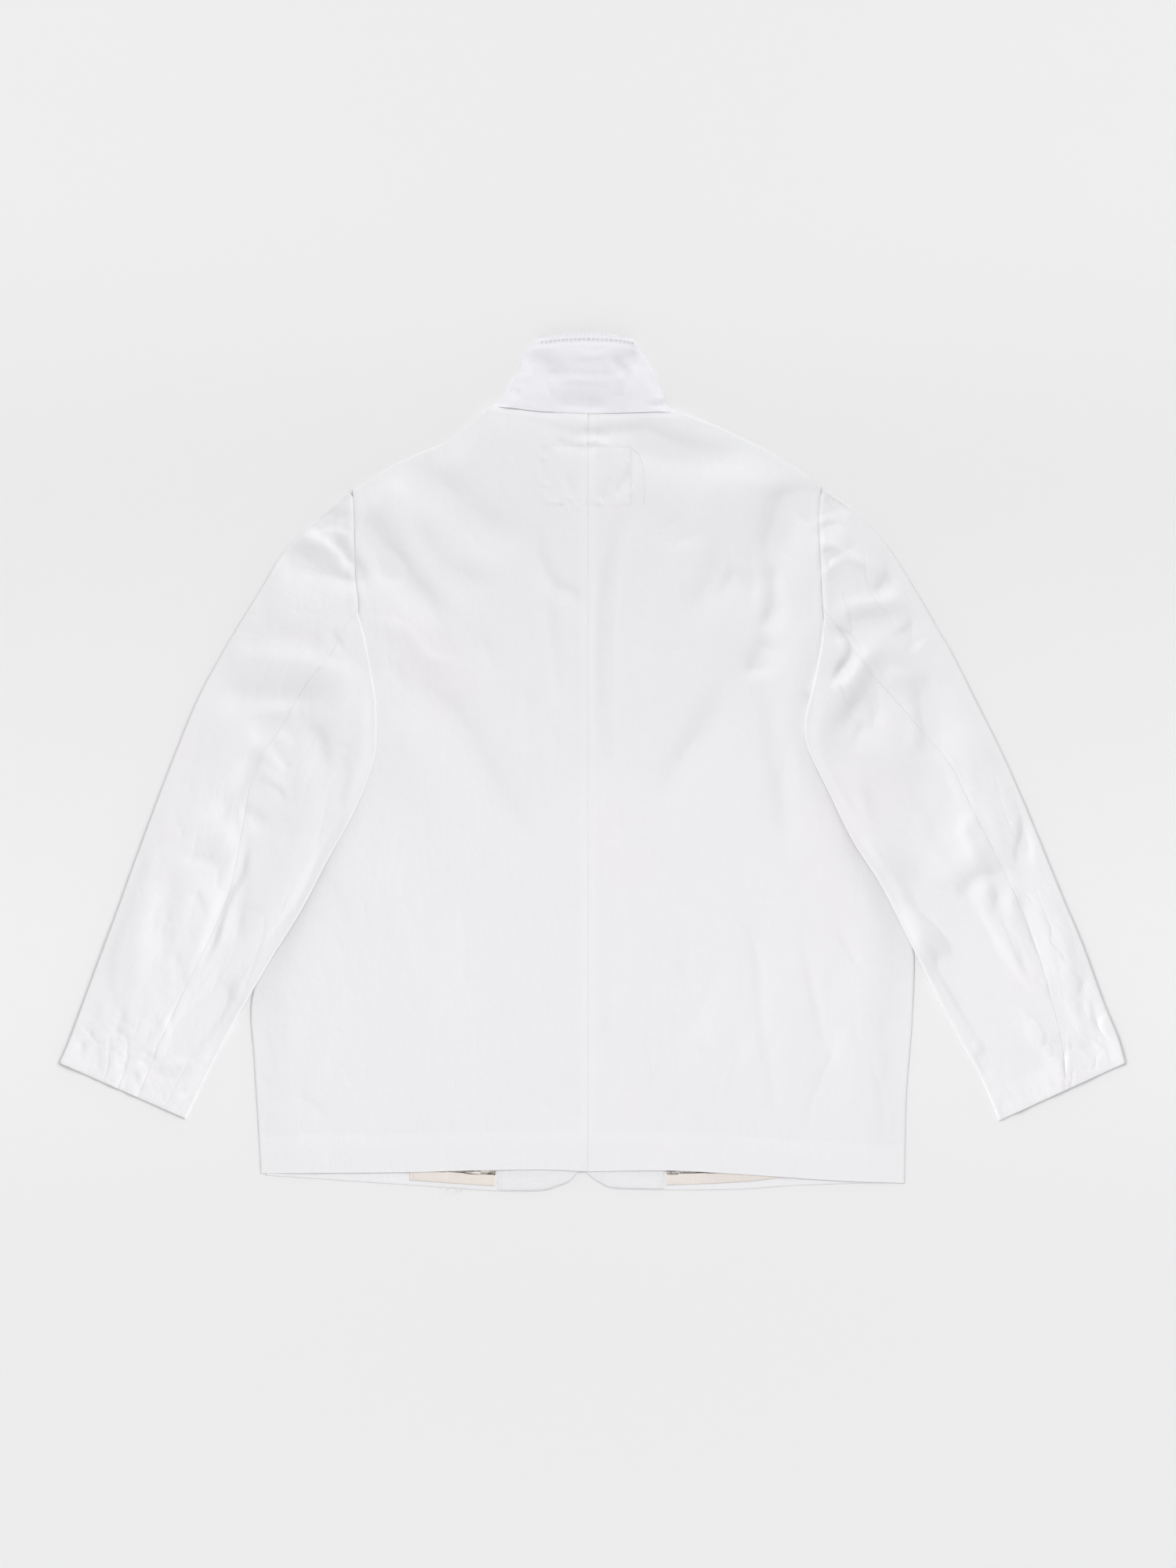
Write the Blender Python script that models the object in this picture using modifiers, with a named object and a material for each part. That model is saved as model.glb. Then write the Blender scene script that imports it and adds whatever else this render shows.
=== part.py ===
"""A white cotton suit jacket laid flat on a table, back up, with its collar turned up.

The garment is drawn in its own plan, in millimetres: x runs across from the centre back
seam, y runs up from the neck seam towards the collar, and z is the height over the table.
"Left" and "right" are the sides as seen from above with the collar away from the viewer.
The fronts and the lower layers of the sleeves lie on the table, the back lies on the fronts,
and the sleeves lie over the edges of the body. At the end the whole garment is moved so that
the middle of its box stands over the origin.
"""
import math
from collections import namedtuple

import bmesh
import bpy
from mathutils import Vector
from mathutils.geometry import interpolate_bezier

MM = 0.001

# Cloth walls and the room between the layers.
CLOTH = 1.2
FACING_CLOTH = 1.0
SEAM_GAP = 0.4
LAYER_GAP = 0.35
SLEEVE_REST = 1.6

# Heights of the outer surfaces over the table.
FACING_TOP = CLOTH + LAYER_GAP + FACING_CLOTH
BACK_AT_HEM = FACING_TOP + LAYER_GAP + 2 * CLOTH
BACK_AIR = 4.6
BACK_LOWEST = FACING_TOP + LAYER_GAP + 1.4 * CLOTH
SLEEVE_THICKNESS = 7.5
CUFF_THICKNESS = 6.6
SLEEVE_LEAST = 2 * CLOTH + 1.6
COLLAR_THICKNESS = 10.0

# Folded edges and turned hems.
EDGE_ROLL = 9.0
EDGE_FOOT = 2.3
SLEEVE_ROLL = 6.0
HEM_DEPTH = 40.0
CUFF_DEPTH = 32.0
FRONT_INSET = 5.5
FRONT_ARMHOLE_INSET = 1.0
SHOULDER_INSET = 1.5
NECK_INSET = 4.0
TURN_STEP = 8.0

# How far in from its edges the back rises to its full height, and where folds fade.
SIDE_LEAD = 12.0
SIDE_SLOPE = 70.0
UNDERARM_SLOPE = 60.0
HEM_SLOPE = 110.0
SHOULDER_LEAD = 30.0
SHOULDER_SLOPE = 60.0
FOLD_END_AT_HEM = 10.0
FOLD_FADE_AT_HEM = 50.0

# How finely the cloth is divided.
BACK_COLUMNS = 13
SEAM_COLUMN = 0.01
NECK_SHARE = 6 / 13
BACK_ROWS = 29
FRONT_ROWS = 11
FRONT_SHARES = (0, 0.02, 0.05, 0.1, 0.2, 0.35, 0.5, 0.65, 0.8, 0.9, 1)
ROLL_ANGLES = (60, 30, 0)
STEPS_PER_STATION = 2

CONTOUR = {
    "left": {
        "neck": ((-0.2, 0), (-32, 1.5), (-56, 3), (-80, 6), (-100, 9)),
        "shoulder": ((-100, 9), (-120, -9), (-148, -29), (-196, -49), (-240, -77)),
        "armhole": ((-240, -77), (-238, -110), (-237, -165), (-233, -200), (-238, -255), (-250, -300)),
        "side": ((-250, -300), (-276, -390), (-305, -480), (-330, -555), (-344, -600), (-341, -657),
                 (-336, -737), (-334, -774)),
        "hem": ((-0.2, -772), (-48, -770), (-120, -771), (-200, -773), (-334, -774)),
        "front_edge": ((-58, -14), (-20, -95), (-7.5, -180), (-7.5, -480), (-7.5, -768)),
        "front_hem": ((-7.5, -768), (-18, -782), (-32, -788), (-48, -792), (-92, -792), (-180, -786),
                      (-240, -782), (-328.5, -776)),
    },
    "right": {
        "neck": ((0.2, 0), (40, 1), (70, 2), (96, 2)),
        "shoulder": ((96, 2), (136, -13), (184, -37), (224, -62), (238, -74)),
        "armhole": ((238, -74), (235, -105), (237, -165), (239, -215), (236, -257), (245, -300)),
        "side": ((245, -300), (274, -385), (303, -465), (325, -520), (333, -552), (331, -617),
                 (328, -657), (325, -697), (323, -784)),
        "hem": ((0.2, -772), (80, -771), (160, -775), (248, -781), (323, -784)),
        "front_edge": ((54, -16), (18, -95), (-4.5, -180), (-4.5, -480), (-4.5, -770)),
        "front_hem": ((-4.5, -770), (4, -779), (16, -786), (32, -790), (104, -791), (160, -790),
                      (200, -787), (248, -785), (317.5, -783)),
    },
}

# A row for each station down a sleeve: its folded outer edge, its inner edge (the armhole
# seam, then the fold that lies over the body), where the elbow seam crosses between them as
# a share from the outer edge, and how far the inner fold stands over the back.
SleeveStation = namedtuple("SleeveStation", "outer_x outer_y inner_x inner_y seam over")
SLEEVE = {
    "left": (
        SleeveStation(-245, -80, -240, -84, 1.00, 0.0),
        SleeveStation(-265, -97, -238.5, -107, 1.00, 0.0),
        SleeveStation(-292, -120, -238, -135, 1.00, 0.0),
        SleeveStation(-314, -145, -237.5, -165, 1.00, 0.0),
        SleeveStation(-328, -169, -234, -195, 1.00, 0.0),
        SleeveStation(-343, -194, -227, -228, 0.80, 0.8),
        SleeveStation(-357, -216, -220, -265, 0.68, 1.0),
        SleeveStation(-371, -240, -215, -300, 0.55, 1.0),
        SleeveStation(-397, -288, -217, -352, 0.47, 1.0),
        SleeveStation(-419, -341, -238, -406, 0.43, 1.0),
        SleeveStation(-439, -393, -265, -455, 0.50, 1.0),
        SleeveStation(-459, -447, -292, -506, 0.57, 1.0),
        SleeveStation(-478, -500, -322, -554, 0.60, 1.0),
        SleeveStation(-498, -554, -351, -604, 0.60, 1.0),
        SleeveStation(-518, -608, -378, -653, 0.60, 1.0),
        SleeveStation(-530, -640, -396, -689, 0.61, 1.0),
        SleeveStation(-539, -661, -410, -718, 0.62, 1.0),
    ),
    "right": (
        SleeveStation(244, -78, 239.5, -82, 1.00, 0.0),
        SleeveStation(267, -94, 236, -108, 1.00, 0.0),
        SleeveStation(288, -113, 236, -135, 1.00, 0.0),
        SleeveStation(308, -138, 237.5, -165, 1.00, 0.0),
        SleeveStation(326, -166, 239, -196, 1.00, 0.0),
        SleeveStation(343, -195, 237, -232, 0.78, 0.8),
        SleeveStation(358, -221, 231, -266, 0.64, 1.0),
        SleeveStation(374, -249, 221, -308, 0.48, 1.0),
        SleeveStation(398, -297, 222, -337, 0.38, 1.0),
        SleeveStation(421, -343, 245, -386, 0.30, 1.0),
        SleeveStation(443, -392, 270, -436, 0.29, 1.0),
        SleeveStation(464, -443, 297, -478, 0.28, 1.0),
        SleeveStation(484, -492, 322, -526, 0.27, 1.0),
        SleeveStation(505, -542, 346, -575, 0.29, 1.0),
        SleeveStation(525, -597, 375, -630, 0.33, 1.0),
        SleeveStation(541, -636, 401, -677, 0.40, 1.0),
        SleeveStation(548, -661, 419, -720, 0.48, 1.0),
    ),
}
LAST_OPEN_STATION = 4
UNDER_SLEEVE_START = 4.5
UNDERARM_STATION = 7
UNDER_STEP_COLUMN = 12

# The hidden forearm seam, as a share of the way from the outer edge, and how far a sleeve's
# lower layer takes to come down from the back to the table.
FOREARM_SEAM = 0.56
STEP_DOWN = 20.0

# Distances from the body's edge over which a sleeve's layers climb onto the back, how far
# its folds stay off its edges, and the first steps beside its elbow seam.
LOWER_CLIMB = 16.0
LOWER_LEAD = 20.0
UPPER_CLIMB = 50.0
UPPER_LEAD = 45.0
OUTER_FOLD_FADE = 26.0
INNER_FOLD_FADE = 22.0
OPEN_FOLD_LEAD = 12.0
SEAM_STEP = 2.5
ROLL_CLEARANCE = 2.0
FOREARM_CLEARANCE = 3.0
ARMHOLE_PUFF = 1.5
MOST_ROLL_SHARE = 0.42
TUBE_ANGLES = (90, 45, 0, -45, -90)

# A row for each large fold that shows: a soft trough (depth under 0) or ridge along a bowed
# line. Bow is how far its middle stands off the straight line, to the left of its direction.
Fold = namedtuple("Fold", "from_x from_y to_x to_y bow width depth")
BODY_FOLDS = (
    Fold(-192, -57, -60, -137, 4, 13, -3.6),
    Fold(-176, -105, -88, -185, -5, 10, -2.2),
    Fold(-232, -105, -144, -237, 8, 15, -4.2),
    Fold(-236, -205, -118, -281, 10, 12, 2.6),
    Fold(-200, -229, -44, -449, 8, 16, -3.0),
    Fold(-54, -114, -6, -225, -4, 9, -2.2),
    Fold(-36, -193, -30, -293, 0, 9, -1.8),
    Fold(40, -97, 18, -225, -5, 11, -3.4),
    Fold(18, -200, 28, -425, -4, 10, -3.2),
    Fold(56, -13, 176, -52, -3, 12, -3.4),
    Fold(196, -85, 172, -140, 4, 14, -3.4),
    Fold(184, -82, 262, -93, 0, 11, -2.8),
    Fold(188, -140, 188, -212, 4, 10, -2.6),
    Fold(178, -215, 172, -285, 3, 11, -2.4),
    Fold(180, -275, 208, -469, 3, 10, -2.2),
    Fold(136, -273, 70, -425, 8, 15, -2.8),
    Fold(136, -481, 182, -625, -6, 14, -2.6),
    Fold(180, -605, 198, -735, 0, 12, -2.4),
    Fold(216, -521, 252, -665, 0, 11, -2.2),
    Fold(92, -521, 100, -617, 0, 13, -2.0),
    Fold(12, -537, 28, -721, 0, 10, -2.0),
    Fold(-24, -671, -16, -735, 0, 16, -1.8),
    Fold(-210, -420, -150, -660, 0, 26, 1.6),
    Fold(-120, -560, -110, -700, 0, 20, -1.6),
)
SLEEVE_FOLDS = {
    "left": (
        Fold(-268, -118, -234, -168, -4, 9, -3.0),
        Fold(-304, -137, -250, -160, 4, 9, -2.6),
        Fold(-300, -122, -250, -142, 3, 7, 1.6),
        Fold(-372, -247, -238, -247, 0, 10, 2.6),
        Fold(-366, -275, -262, -306, -7, 13, -3.2),
        Fold(-344, -299, -258, -306, 3, 9, 2.4),
        Fold(-322, -334, -384, -445, 4, 10, -3.2),
        Fold(-346, -445, -390, -557, 4, 9, -3.2),
        Fold(-272, -316, -266, -372, -4, 9, -2.6),
        Fold(-246, -362, -322, -531, 12, 10, -2.8),
        Fold(-316, -526, -412, -655, -4, 10, -2.8),
        Fold(-424, -450, -466, -598, 0, 12, 2.2),
        Fold(-410, -465, -424, -588, 0, 9, -1.8),
        Fold(-488, -561, -466, -616, 0, 8, -1.6),
        Fold(-445, -645, -462, -668, 0, 8, -1.4),
    ),
    "right": (
        Fold(238, -124, 268, -103, 0, 9, -2.4),
        Fold(236, -134, 298, -158, 4, 9, 2.4),
        Fold(302, -154, 292, -184, 0, 8, -2.2),
        Fold(248, -193, 334, -173, -3, 9, 2.6),
        Fold(240, -216, 324, -209, 0, 11, -3.4),
        Fold(268, -222, 248, -275, 5, 9, -2.8),
        Fold(308, -228, 246, -300, 8, 10, 3.2),
        Fold(303, -250, 238, -334, 8, 11, -3.6),
        Fold(320, -285, 337, -365, 0, 10, -2.4),
        Fold(328, -355, 353, -455, 0, 11, -2.4),
        Fold(238, -337, 354, -475, 10, 10, -2.6),
        Fold(436, -392, 438, -466, 0, 8, -3.2),
        Fold(378, -462, 430, -480, 3, 13, -3.2),
        Fold(304, -481, 404, -590, 6, 10, -3.2),
        Fold(340, -541, 428, -660, 4, 9, -3.2),
        Fold(400, -555, 466, -615, -3, 9, -2.2),
        Fold(504, -567, 495, -628, 0, 7, -1.6),
    ),
}

# A row for each station up the turned-up collar: height over the neck seam of the left and
# right folded edges, and their places across.
CollarStation = namedtuple("CollarStation", "left_x left_y right_x right_y")
COLLAR = (
    CollarStation(-100, 9.6, 95, 2.6),
    CollarStation(-89, 22, 82, 13),
    CollarStation(-79, 34, 76, 24),
    CollarStation(-71, 44, 69, 40),
    CollarStation(-66, 59, 59, 57),
    CollarStation(-53, 76, 47, 76),
)
COLLAR_CROWN = 7.5
COLLAR_COLUMNS = 14
COLLAR_ROWS = 7
COLLAR_RETURN = 46.0
COLLAR_CORNER_GAP = 1.4
COLLAR_THINNING = 1.6
TOP_COLLAR_LIFT = 0.08

# The beige pocket bags that show under the back hem: their sides, their top and how far their
# lower edge stays above the front hem.
PocketBag = namedtuple("PocketBag", "inner_x outer_x top_y drop_inner drop_outer")
POCKET_BAGS = {
    "left": PocketBag(-95, -182, -600, 5, 5),
    "right": PocketBag(80, 203, -600, 5, 9),
}
FACING_WIDTH = {"left": (-9.5, -92.5), "right": (-2.5, 77.5)}
FACING_TOP_Y = -120.0
FACING_ABOVE_HEM = 1.2

# Colour, roughness and sheen of each cloth.
Finish = namedtuple("Finish", "colour roughness sheen")
FINISHES = {
    "jacket_cotton": Finish((0.83, 0.83, 0.85), 0.9, 0.25),
    "collar_cotton": Finish((0.79, 0.78, 0.84), 0.9, 0.25),
    "facing_cotton": Finish((0.77, 0.77, 0.79), 0.88, 0.2),
    "pocketing": Finish((0.76, 0.71, 0.66), 0.92, 0.2),
}


def smooth_step(share):
    share = min(1.0, max(0.0, share))
    return share * share * (3 - 2 * share)


def curve_through(points, steps=10):
    """A dense run of points along the smooth curve that passes through the given ones."""
    knots = [Vector((x, y, 0)) for x, y in points]
    before = [knots[0]] + knots[:-1]
    after = knots[1:] + [knots[-1]]
    run = []
    for index in range(len(knots) - 1):
        start, end = knots[index], knots[index + 1]
        leaving = start + (end - before[index]) / 6
        arriving = end - (after[index + 1] - start) / 6
        piece = interpolate_bezier(start, leaving, arriving, end, steps + 1)
        run.extend(piece if not run else piece[1:])
    return run


def at_share(run, share):
    """The point at a share of the length of a run of points."""
    lengths = [(b - a).length for a, b in zip(run, run[1:])]
    left = share * sum(lengths)
    for index, length in enumerate(lengths):
        if left <= length or index == len(lengths) - 1:
            return run[index].lerp(run[index + 1], min(1.0, left / length))
        left -= length


def between(table, place):
    """The table's row at a fractional place, each column on a smooth curve."""
    index = min(int(place), len(table) - 2)
    share = place - index
    rows = [table[min(max(i, 0), len(table) - 1)] for i in range(index - 1, index + 3)]
    values = []
    for p0, p1, p2, p3 in zip(*rows):
        bend = 2 * p0 - 5 * p1 + 4 * p2 - p3
        twist = 3 * (p1 - p2) + p3 - p0
        values.append(p1 + 0.5 * share * (p2 - p0 + share * (bend + share * twist)))
    return type(table[0])(*values)


def fold_height(x, y, folds):
    """Height that the folds add or take away at a point of the plan."""
    height = 0.0
    for fold in folds:
        run_x, run_y = fold.to_x - fold.from_x, fold.to_y - fold.from_y
        length = math.hypot(run_x, run_y)
        along = ((x - fold.from_x) * run_x + (y - fold.from_y) * run_y) / length ** 2
        if not -0.1 < along < 1.1:
            continue
        aside = ((y - fold.from_y) * run_x - (x - fold.from_x) * run_y) / length
        middle = max(0.0, 4 * along * (1 - along))
        off_line = (aside - fold.bow * middle) / fold.width
        if abs(off_line) < 3:
            ends = smooth_step((along + 0.1) / 0.35) * smooth_step((1.1 - along) / 0.35)
            height += fold.depth * ends * math.exp(-off_line * off_line)
    return height


def edge_x(hand, y):
    """Distance from the centre to the edge of the body at a height of the plan."""
    points = CONTOUR[hand]["armhole"] + CONTOUR[hand]["side"][1:]
    for (x0, y0), (x1, y1) in zip(points, points[1:]):
        if y >= y1:
            share = min(1.0, max(0.0, (y0 - y) / (y0 - y1)))
            return abs(x0 + (x1 - x0) * share)
    return abs(points[-1][0])


def shoulder_y(hand, x):
    points = CONTOUR[hand]["neck"][-1:] + CONTOUR[hand]["shoulder"][1:]
    for (x0, y0), (x1, y1) in zip(points, points[1:]):
        if abs(x) <= abs(x1):
            share = max(0.0, (abs(x) - abs(x0)) / (abs(x1) - abs(x0)))
            return y0 + (y1 - y0) * share
    return points[-1][1]


def back_top(x, y):
    """Height of the back's outer surface, apart from its rolled edges."""
    hand = "left" if x < 0 else "right"
    underarm_y = CONTOUR[hand]["side"][0][1]
    hem_y = CONTOUR[hand]["hem"][0][1]
    from_side = edge_x(hand, y) - abs(x)
    side_rise = smooth_step((from_side + SIDE_LEAD) / SIDE_SLOPE)
    above_underarm = smooth_step((y - underarm_y + UNDERARM_SLOPE) / UNDERARM_SLOPE)
    side_rise += (1 - side_rise) * above_underarm
    hem_rise = smooth_step((y - hem_y) / HEM_SLOPE)
    shoulder_rise = smooth_step((shoulder_y(hand, x) - y + SHOULDER_LEAD) / SHOULDER_SLOPE)
    height = BACK_AT_HEM + BACK_AIR * side_rise * hem_rise * shoulder_rise
    folds = fold_height(x, y, BODY_FOLDS)
    fade = smooth_step((y - hem_y - FOLD_END_AT_HEM) / FOLD_FADE_AT_HEM)
    return max(BACK_LOWEST, height + folds * fade)


def rolled(distance, radius):
    """Share of its full height that cloth has at a distance from its folded edge."""
    left = min(1.0, max(0.0, 1 - distance / radius))
    return math.sqrt(1 - left * left)


def roll_distances(radius):
    """Distances from a folded edge at which a row of the roll is set, the edge last."""
    return [radius * (1 - math.sin(math.radians(90 - angle))) for angle in ROLL_ANGLES]


def patch(top, bottom, centre, side):
    """A function that gives the plan's point inside four boundary curves (a Coons patch)."""
    corners = (top[0], top[-1], bottom[0], bottom[-1])

    def point(across, down, top_share=None):
        across_top = across if top_share is None else top_share
        upper, lower = at_share(top, across_top), at_share(bottom, across)
        inner, outer = at_share(centre, down), at_share(side, down)
        ruled = upper.lerp(lower, down) + inner.lerp(outer, across)
        corner_part = corners[0].lerp(corners[1], across).lerp(corners[2].lerp(corners[3], across), down)
        return ruled - corner_part

    return point


def sheet(name, rows, material, wall=CLOTH, double=None, missing=None):
    """A wall of cloth under the rows of points of its outer surface."""
    columns = len(rows[0])
    mesh = bpy.data.meshes.new(name)
    form = bmesh.new()
    bmesh.ops.create_grid(form, x_segments=columns - 1, y_segments=len(rows) - 1, size=1)
    form.verts.ensure_lookup_table()
    for index, vertex in enumerate(form.verts):
        vertex.co = rows[index // columns][index % columns] * MM
    if missing:
        form.faces.ensure_lookup_table()
        holes = [face for index, face in enumerate(form.faces)
                 if missing(index // (columns - 1), index % (columns - 1))]
        bmesh.ops.delete(form, geom=holes, context="FACES")
    form.normal_update()
    level = [face for face in form.faces if abs(face.normal.z) > 0.8]
    if max(level, key=lambda face: face.calc_center_median().z).normal.z < 0:
        bmesh.ops.reverse_faces(form, faces=form.faces)
    form.to_mesh(mesh)
    form.free()
    mesh.materials.append(material)
    mesh.shade_smooth()
    cloth = bpy.data.objects.new(name, mesh)
    solidify = cloth.modifiers.new("Cloth wall", "SOLIDIFY")
    solidify.thickness = wall * MM
    solidify.offset = -1
    if double:
        solidify.thickness = 2 * wall * MM
        solidify.thickness_vertex_group = 0.5
        turned = cloth.vertex_groups.new(name="Turned hem")
        for vertex in mesh.vertices:
            turned.add([vertex.index], double(vertex.co / MM), "REPLACE")
        solidify.vertex_group = turned.name
    return cloth


def back_panel(hand, material):
    contour = {part: curve_through(points) for part, points in CONTOUR[hand].items()}
    top_edge = contour["neck"] + contour["shoulder"][1:]
    neck_end = at_length_share(contour["neck"], top_edge)
    centre = [contour["neck"][0].lerp(contour["hem"][0], step / 20) for step in range(21)]
    side = contour["armhole"] + contour["side"][1:]
    underarm_y = CONTOUR[hand]["side"][0][1]
    point = patch(top_edge, contour["hem"], centre, side)
    across_shares = [0, SEAM_COLUMN] + [step / BACK_COLUMNS for step in range(1, BACK_COLUMNS)]
    across_shares.append(1 - 0.5 / BACK_COLUMNS)
    rows = []
    for row in range(BACK_ROWS + 1):
        down = row / BACK_ROWS
        regular = [point(across, down, share_past_neck(across, neck_end)) for across in across_shares]
        edge = point(1, down)
        inward = (regular[-1] - edge).normalized()
        regular += [edge + inward * distance for distance in roll_distances(EDGE_ROLL)]
        rows.append(regular)
    first, second = rows[0], rows[1]
    roll_rows = []
    for distance in reversed(roll_distances(EDGE_ROLL)[:-1]):
        roll_rows.append([a + (b - a).normalized() * distance for a, b in zip(first, second)])
    rows[1:1] = roll_rows
    for row in rows:
        for vertex in row:
            height = back_top(vertex.x, vertex.y)
            edge = row[-1]
            if edge.y < underarm_y + 4:
                height *= rolled((vertex - edge).length, EDGE_ROLL)
            if abs(vertex.x) > abs(CONTOUR[hand]["neck"][-1][0]) + 1:
                height *= rolled(0.9 * (shoulder_y(hand, vertex.x) - vertex.y), EDGE_ROLL)
            vertex.z = max(EDGE_FOOT, height)
    hem_y = CONTOUR[hand]["hem"][0][1]
    return sheet(
        "back_" + hand, rows, material,
        double=lambda at: smooth_step((hem_y + HEM_DEPTH - at.y) / TURN_STEP),
    )


def at_length_share(part, whole):
    """Share of the whole run's length that its first part takes."""
    def length(run):
        return sum((b - a).length for a, b in zip(run, run[1:]))
    return length(part) / length(whole)


def share_past_neck(across, neck_end):
    """Share along the top edge, so that a column ends exactly at the neck's corner."""
    if across <= NECK_SHARE:
        return across / NECK_SHARE * neck_end
    return neck_end + (across - NECK_SHARE) / (1 - NECK_SHARE) * (1 - neck_end)


def front_panel(hand, material):
    """A front, flat on the table inside the rolled edges of the back."""
    contour = CONTOUR[hand]
    sign = -1 if hand == "left" else 1
    neck_x, neck_y = contour["neck"][-1]
    shoulder = [(x - sign * SHOULDER_INSET, y - FRONT_INSET) for x, y in contour["shoulder"]]
    neck_point = (neck_x - sign * NECK_INSET, neck_y - FRONT_INSET)
    top = [Vector((*contour["front_edge"][0], 0)), Vector((*neck_point, 0))]
    top += curve_through([neck_point] + shoulder[1:])[1:]
    armhole = [(x - sign * FRONT_ARMHOLE_INSET, y) for x, y in contour["armhole"][1:-1]]
    side = [(x - sign * FRONT_INSET, y) for x, y in contour["side"][:-1]]
    edge_run = curve_through([shoulder[-1]] + armhole + side + [contour["front_hem"][-1]])
    hem = curve_through(contour["front_hem"])
    point = patch(top, hem, curve_through(contour["front_edge"]), edge_run)
    rows = []
    for row in range(FRONT_ROWS + 1):
        rows.append([point(across, row / FRONT_ROWS) for across in FRONT_SHARES])
        for vertex in rows[-1]:
            vertex.z = CLOTH
    return sheet("front_" + hand, rows, material)


def strip_between(name, sides, top_y, bottom_at, surface, wall, material, rows_count, columns=4):
    """A flat strip of cloth whose lower edge follows a given line."""
    rows = []
    for row in range(rows_count + 1):
        share = row / rows_count
        line = []
        for column in range(columns + 1):
            x = sides[0] + (sides[1] - sides[0]) * column / columns
            y = top_y + (bottom_at(x) - top_y) * share
            line.append(Vector((x, y, surface)))
        rows.append(line)
    return sheet(name, rows, material, wall)


def front_hem_y(hand, x):
    run = curve_through(CONTOUR[hand]["front_hem"])
    for start, end in zip(run, run[1:]):
        if min(start.x, end.x) <= x <= max(start.x, end.x):
            return start.y + (end.y - start.y) * (x - start.x) / (end.x - start.x)
    return run[-1].y if abs(x) > 50 else run[0].y


def facing(hand, material):
    return strip_between(
        "facing_" + hand, FACING_WIDTH[hand], FACING_TOP_Y,
        lambda x: front_hem_y(hand, x) + FACING_ABOVE_HEM, FACING_TOP, FACING_CLOTH, material, 5, columns=8,
    )


def pocket_bag(hand, material):
    bag = POCKET_BAGS[hand]

    def lower_edge(x):
        share = (x - bag.inner_x) / (bag.outer_x - bag.inner_x)
        return front_hem_y(hand, x) + bag.drop_inner + (bag.drop_outer - bag.drop_inner) * share

    return strip_between(
        "pocket_bag_" + hand, (bag.inner_x, bag.outer_x), bag.top_y,
        lower_edge, FACING_TOP, FACING_CLOTH, material, 4,
    )


def distance_to_body(hand, start, end):
    """How far the body's edge lies from a sleeve's inner fold, along the sleeve's row."""
    length = (end - start).length
    steps = 120
    for step in range(steps + 1):
        spot = start.lerp(end, step / steps)
        if abs(spot.x) >= edge_x(hand, spot.y):
            return length * step / steps
    return 0.0


def under_sleeve_height(hand, spot, reach, start):
    """Height of what lies under a sleeve: the back's rolled edge, or the table."""
    inside = edge_x(hand, spot.y) - abs(spot.x)
    lift = smooth_step((inside + start) / reach)
    return lift * (back_top(spot.x, spot.y) + SLEEVE_REST)


def sleeve_rows(hand, piece):
    """Rows of the outer surface of one sleeve piece, and which stretches stay open.

    Each row runs round the flattened sleeve. The top sleeve starts at the elbow seam on the
    upper layer, rolls over the outer edge and ends at the forearm seam on the lower layer.
    The under sleeve does the same round the inner edge.
    """
    stations = SLEEVE[hand]
    last = len(stations) - 1
    first = 0 if piece == "top" else UNDER_SLEEVE_START
    steps = round((last - first) * STEPS_PER_STATION)
    rows = []
    for step in range(steps + 1):
        place = first + step / STEPS_PER_STATION
        station = between(stations, place)
        outer = Vector((station.outer_x, station.outer_y, 0))
        inner = Vector((station.inner_x, station.inner_y, 0))
        seam = min(1.0, station.seam) if place > LAST_OPEN_STATION else 1.0
        rows.append(sleeve_row(hand, piece, place, outer, inner, seam, station.over, place / last))
    return rows


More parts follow.
